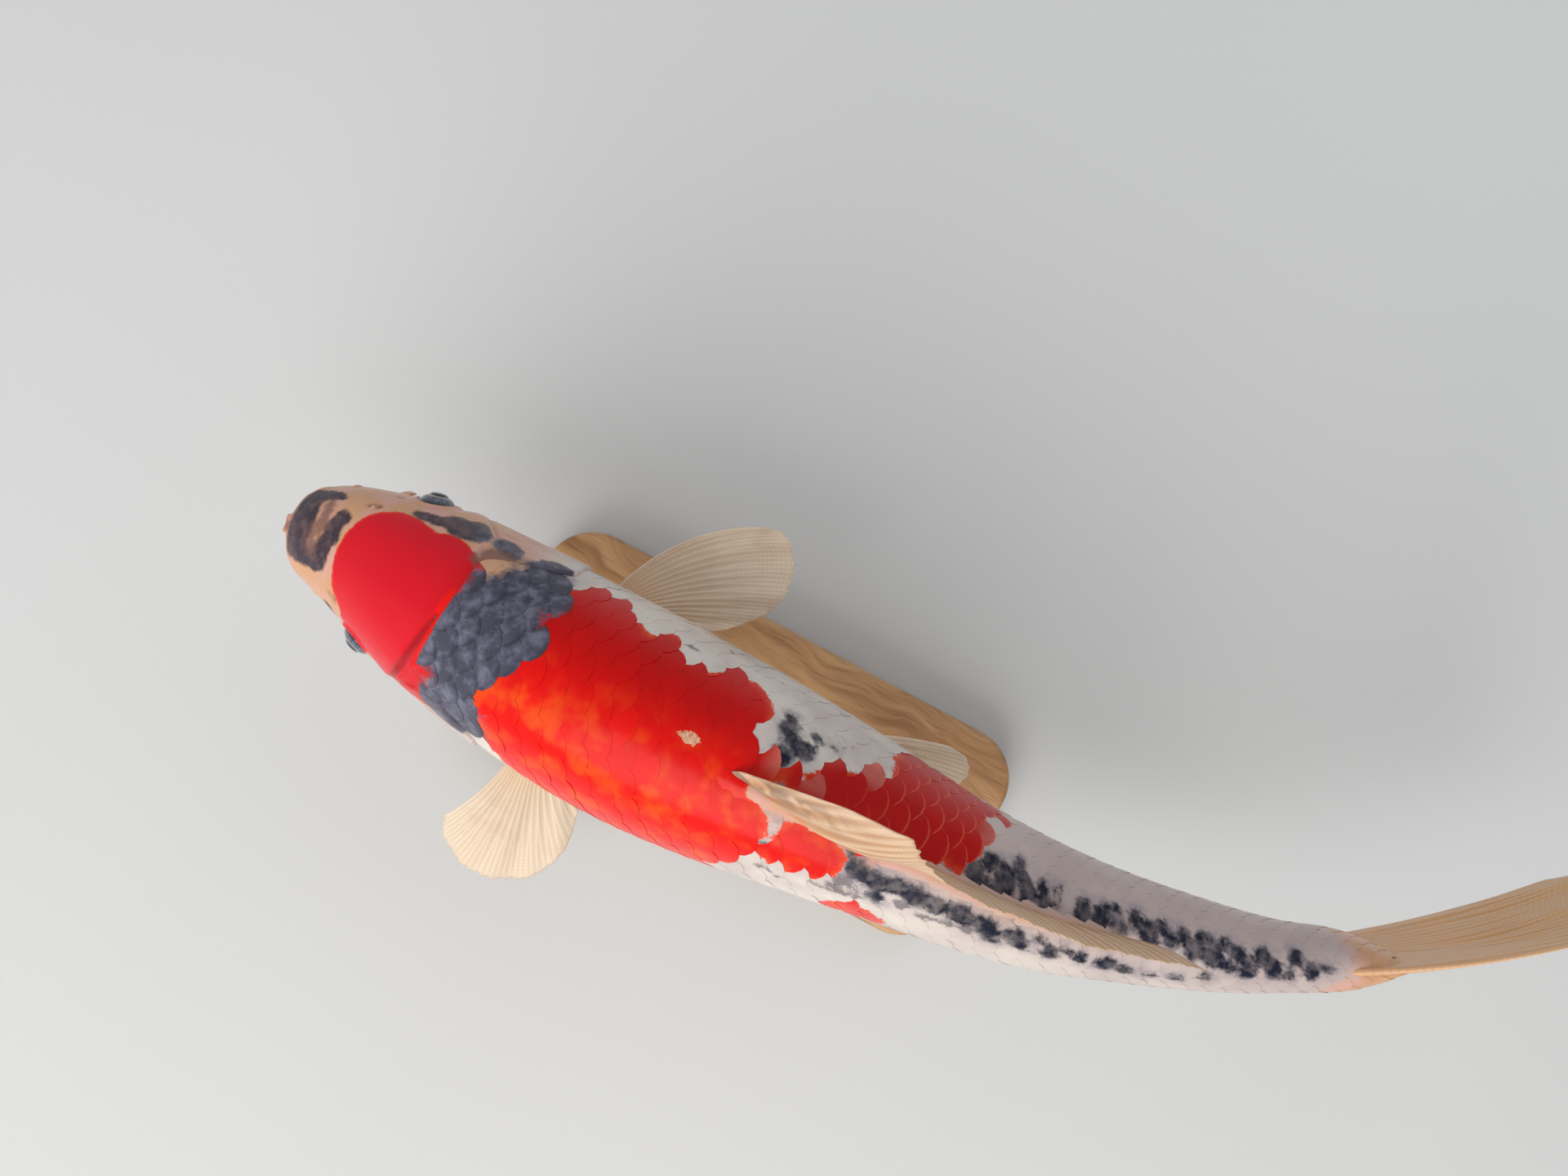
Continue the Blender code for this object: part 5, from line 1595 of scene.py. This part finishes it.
def eye_look():
    """Black domed pupil, thin gold ring and blue-grey iris under a wet glaze."""
    material, sheet, shader = new_look("Wet eye", coat=1.0)[:3]
    shader.inputs["Coat Roughness"].default_value = 0.02
    shader.inputs["Roughness"].default_value = 0.18
    across, up = sheet.parts(sheet.attribute("gaze"))[:2]
    spread = sheet.math('SQRT', sheet.math('ADD', sheet.times(across, across),
                                           sheet.times(up, up)))
    turn = sheet.math('ARCTAN2', up, across)
    polar = sheet.join(sheet.times(turn, 4.0), sheet.times(spread, 3.0), 0.0)
    spokes = sheet.noise(polar, 2.2, 4.0, 0.65)
    iris = sheet.blend(sheet.step(spokes, 0.35, 0.68), paint(44, 50, 66), paint(106, 112, 128))
    iris = sheet.blend(sheet.step(up, 0.2, -0.5, 0.0, 0.5), iris, paint(176, 160, 128))
    gold = sheet.times(sheet.step(spread, 0.45, 0.47), sheet.step(spread, 0.535, 0.495))
    colour = sheet.blend(sheet.times(gold, 0.75), iris, paint(176, 146, 92))
    colour = sheet.blend(sheet.step(spread, 0.72, 0.86), colour, paint(38, 34, 38))
    colour = sheet.blend(sheet.step(spread, 0.445, 0.425), colour, (0.004, 0.004, 0.006, 1.0))
    sheet.feed(shader.inputs["Base Color"], colour)
    return material


def barbel_look(film):
    """Tan, faintly speckled feelers."""
    material, sheet, shader, place = new_look("Soft feeler", coat=0.4)
    spots = sheet.noise(place, 700.0, 2.0)
    colour = sheet.blend(sheet.step(spots, 0.45, 0.65), paint(216, 170, 132), paint(186, 124, 98))
    sheet.feed(shader.inputs["Base Color"], colour)
    wear_bump(sheet, shader, wet_finish(sheet, shader, film, place, 0.24, 0.3), 0.25, 0.0004)
    return material


def wood_look():
    """Satin oak with long grain and pores."""
    material, sheet, shader, place = new_look("Satin wood", coat=0.12)
    shader.inputs["Coat Roughness"].default_value = 0.25
    bent = sheet.times(sheet.noise(place, 14.0, 3.0), 0.05)
    x, y, z = sheet.parts(place)
    lane = sheet.join(sheet.times(x, 0.10), sheet.math('ADD', y, bent), z)
    bands = sheet.noise(lane, 110.0, 4.0, 0.6, 0.4)
    pores = sheet.noise(sheet.vector('MULTIPLY', place, (0.05, 1.0, 1.0)), 1400.0, 2.0, 0.6)
    colour = sheet.blend(sheet.step(bands, 0.36, 0.66), paint(196, 152, 106), paint(146, 102, 64))
    colour = sheet.blend(sheet.step(pores, 0.58, 0.72, 0.0, 0.45), colour, paint(98, 64, 38))
    sheet.feed(shader.inputs["Base Color"], colour)
    sheet.feed(shader.inputs["Roughness"], sheet.math('MULTIPLY_ADD', bands, 0.2, 0.34))
    wear_bump(sheet, shader, sheet.times(pores, -1.0), 0.2, 0.0003)
    return material


def steel_look():
    """Steel brushed round the rod."""
    material, sheet, shader, place = new_look("Brushed steel")
    shader.inputs["Metallic"].default_value = 1.0
    lines = sheet.noise(sheet.vector('MULTIPLY', place, (0.06, 0.06, 1.0)), 2600.0, 2.0, 0.6)
    colour = sheet.blend(lines, paint(196, 198, 202), paint(166, 168, 172))
    sheet.feed(shader.inputs["Base Color"], colour)
    sheet.feed(shader.inputs["Roughness"], sheet.math('MULTIPLY_ADD', lines, 0.22, 0.16))
    wear_bump(sheet, shader, lines, 0.08, 0.0002)
    return material


# ---- floor, light and camera --------------------------------------------------------------


def build_stage():
    """A plain pale floor."""
    mesh = bpy.data.meshes.new("floor")
    ways = ((-1, -1), (1, -1), (1, 1), (-1, 1))
    corners = [(FLOOR_REACH * x, FLOOR_REACH * y, FLOOR_LEVEL) for x, y in ways]
    mesh.from_pydata(corners, [], [(0, 1, 2, 3)])
    material, sheet, shader, place = new_look("Pale floor")
    mottle = sheet.noise(place, 3.0, 2.0)
    sheet.feed(shader.inputs["Base Color"], sheet.blend(mottle, (0.60, 0.60, 0.59, 1), (0.64, 0.64, 0.63, 1)))
    shader.inputs["Roughness"].default_value = 0.8
    mesh.materials.append(material)
    floor = show("floor", mesh)


def add_light(name, place, target, size, power, colour=(1.0, 1.0, 1.0)):
    """One soft square light turned to a target."""
    data = bpy.data.lights.new(name, 'AREA')
    data.shape = 'SQUARE'
    data.size = size
    data.energy = power
    data.color = colour
    lamp = show(name, data)
    lamp.location = place
    lamp.rotation_euler = (Vector(target) - Vector(place)).to_track_quat('-Z', 'Y').to_euler()
    return lamp


def build_light():
    """Soft studio light from above and round the fish."""
    add_light("key", (0.0, -1.0, 1.15), (0.02, 0.0, 0.1), 1.5, 22.0, (1.0, 0.98, 0.95))
    fill = add_light("fill", (0.5, 1.1, 1.0), (0.05, 0.0, 0.1), 1.4, 5.0, (0.95, 0.98, 1.0))
    low = add_light("low_fill", (-1.2, -0.6, 0.35), (0.0, 0.0, 0.1), 0.9, 5.0)
    fill.visible_glossy = False
    low.visible_glossy = False
    world = bpy.data.worlds.new("studio")
    world.use_nodes = True
    world.node_tree.nodes["Background"].inputs[0].default_value = (0.86, 0.90, 0.95, 1.0)
    world.node_tree.nodes["Background"].inputs[1].default_value = 0.45
    bpy.context.scene.world = world
    bpy.context.scene.view_settings.view_transform = 'Standard'


def build_camera():
    """Looks down on the fish, turned so that it swims up to the left."""
    data = bpy.data.cameras.new("camera")
    data.lens = CAMERA_LENS
    data.sensor_width = CAMERA_SENSOR
    camera = show("camera", data)
    camera.location = CAMERA_PLACE
    camera.rotation_euler = tuple(math.radians(turn) for turn in CAMERA_TURN)
    bpy.context.scene.camera = camera


def build():
    """Dress the whole model."""
    marks_group = markings_group()
    film = film_group()
    skin = build_skin(skin_look(marks_group, film))
    settle(skin, "body_skin", "head", "lower_jaw", "lip_upper", "lip_lower", "gill_cover_left",
           "gill_cover_right", "trunk_front", "trunk_rear", "tail_stalk")
    places = keep_scales(scale_places())
    coat = scale_look(marks_group, film)
    for word, chosen in (("right", places[:, 1] >= 0.0), ("left", places[:, 1] < 0.0)):
        settle(build_scales("scales_" + word, places[chosen], coat), "body_skin")
    looks = {
        "fin": fin_look("Pale fin", film, FIN_TAN, FIN_CREAM, flush=paint(224, 176, 140)),
        "dorsal": fin_look("Back fin", film, paint(194, 138, 92), paint(198, 152, 110), 0.5,
                           clear=0.22, pale=0.46),
        "tail": fin_look("Tail fin", film, FIN_AMBER, paint(226, 164, 96), clear=0.24,
                         flush=paint(212, 152, 104), pale=0.40, solid=0.38),
    }
    build_fins(looks)
    eye = eye_look()
    for side in (1.0, -1.0):
        build_eye(side, eye)
    build_barbels(barbel_look(film))
    build_base(wood_look())
    steel = steel_look()
    for word, station in zip(("front", "rear"), ROD_STATIONS):
        build_rod(word, station, steel)
    build_stage()
    build_light()
    build_camera()


build()
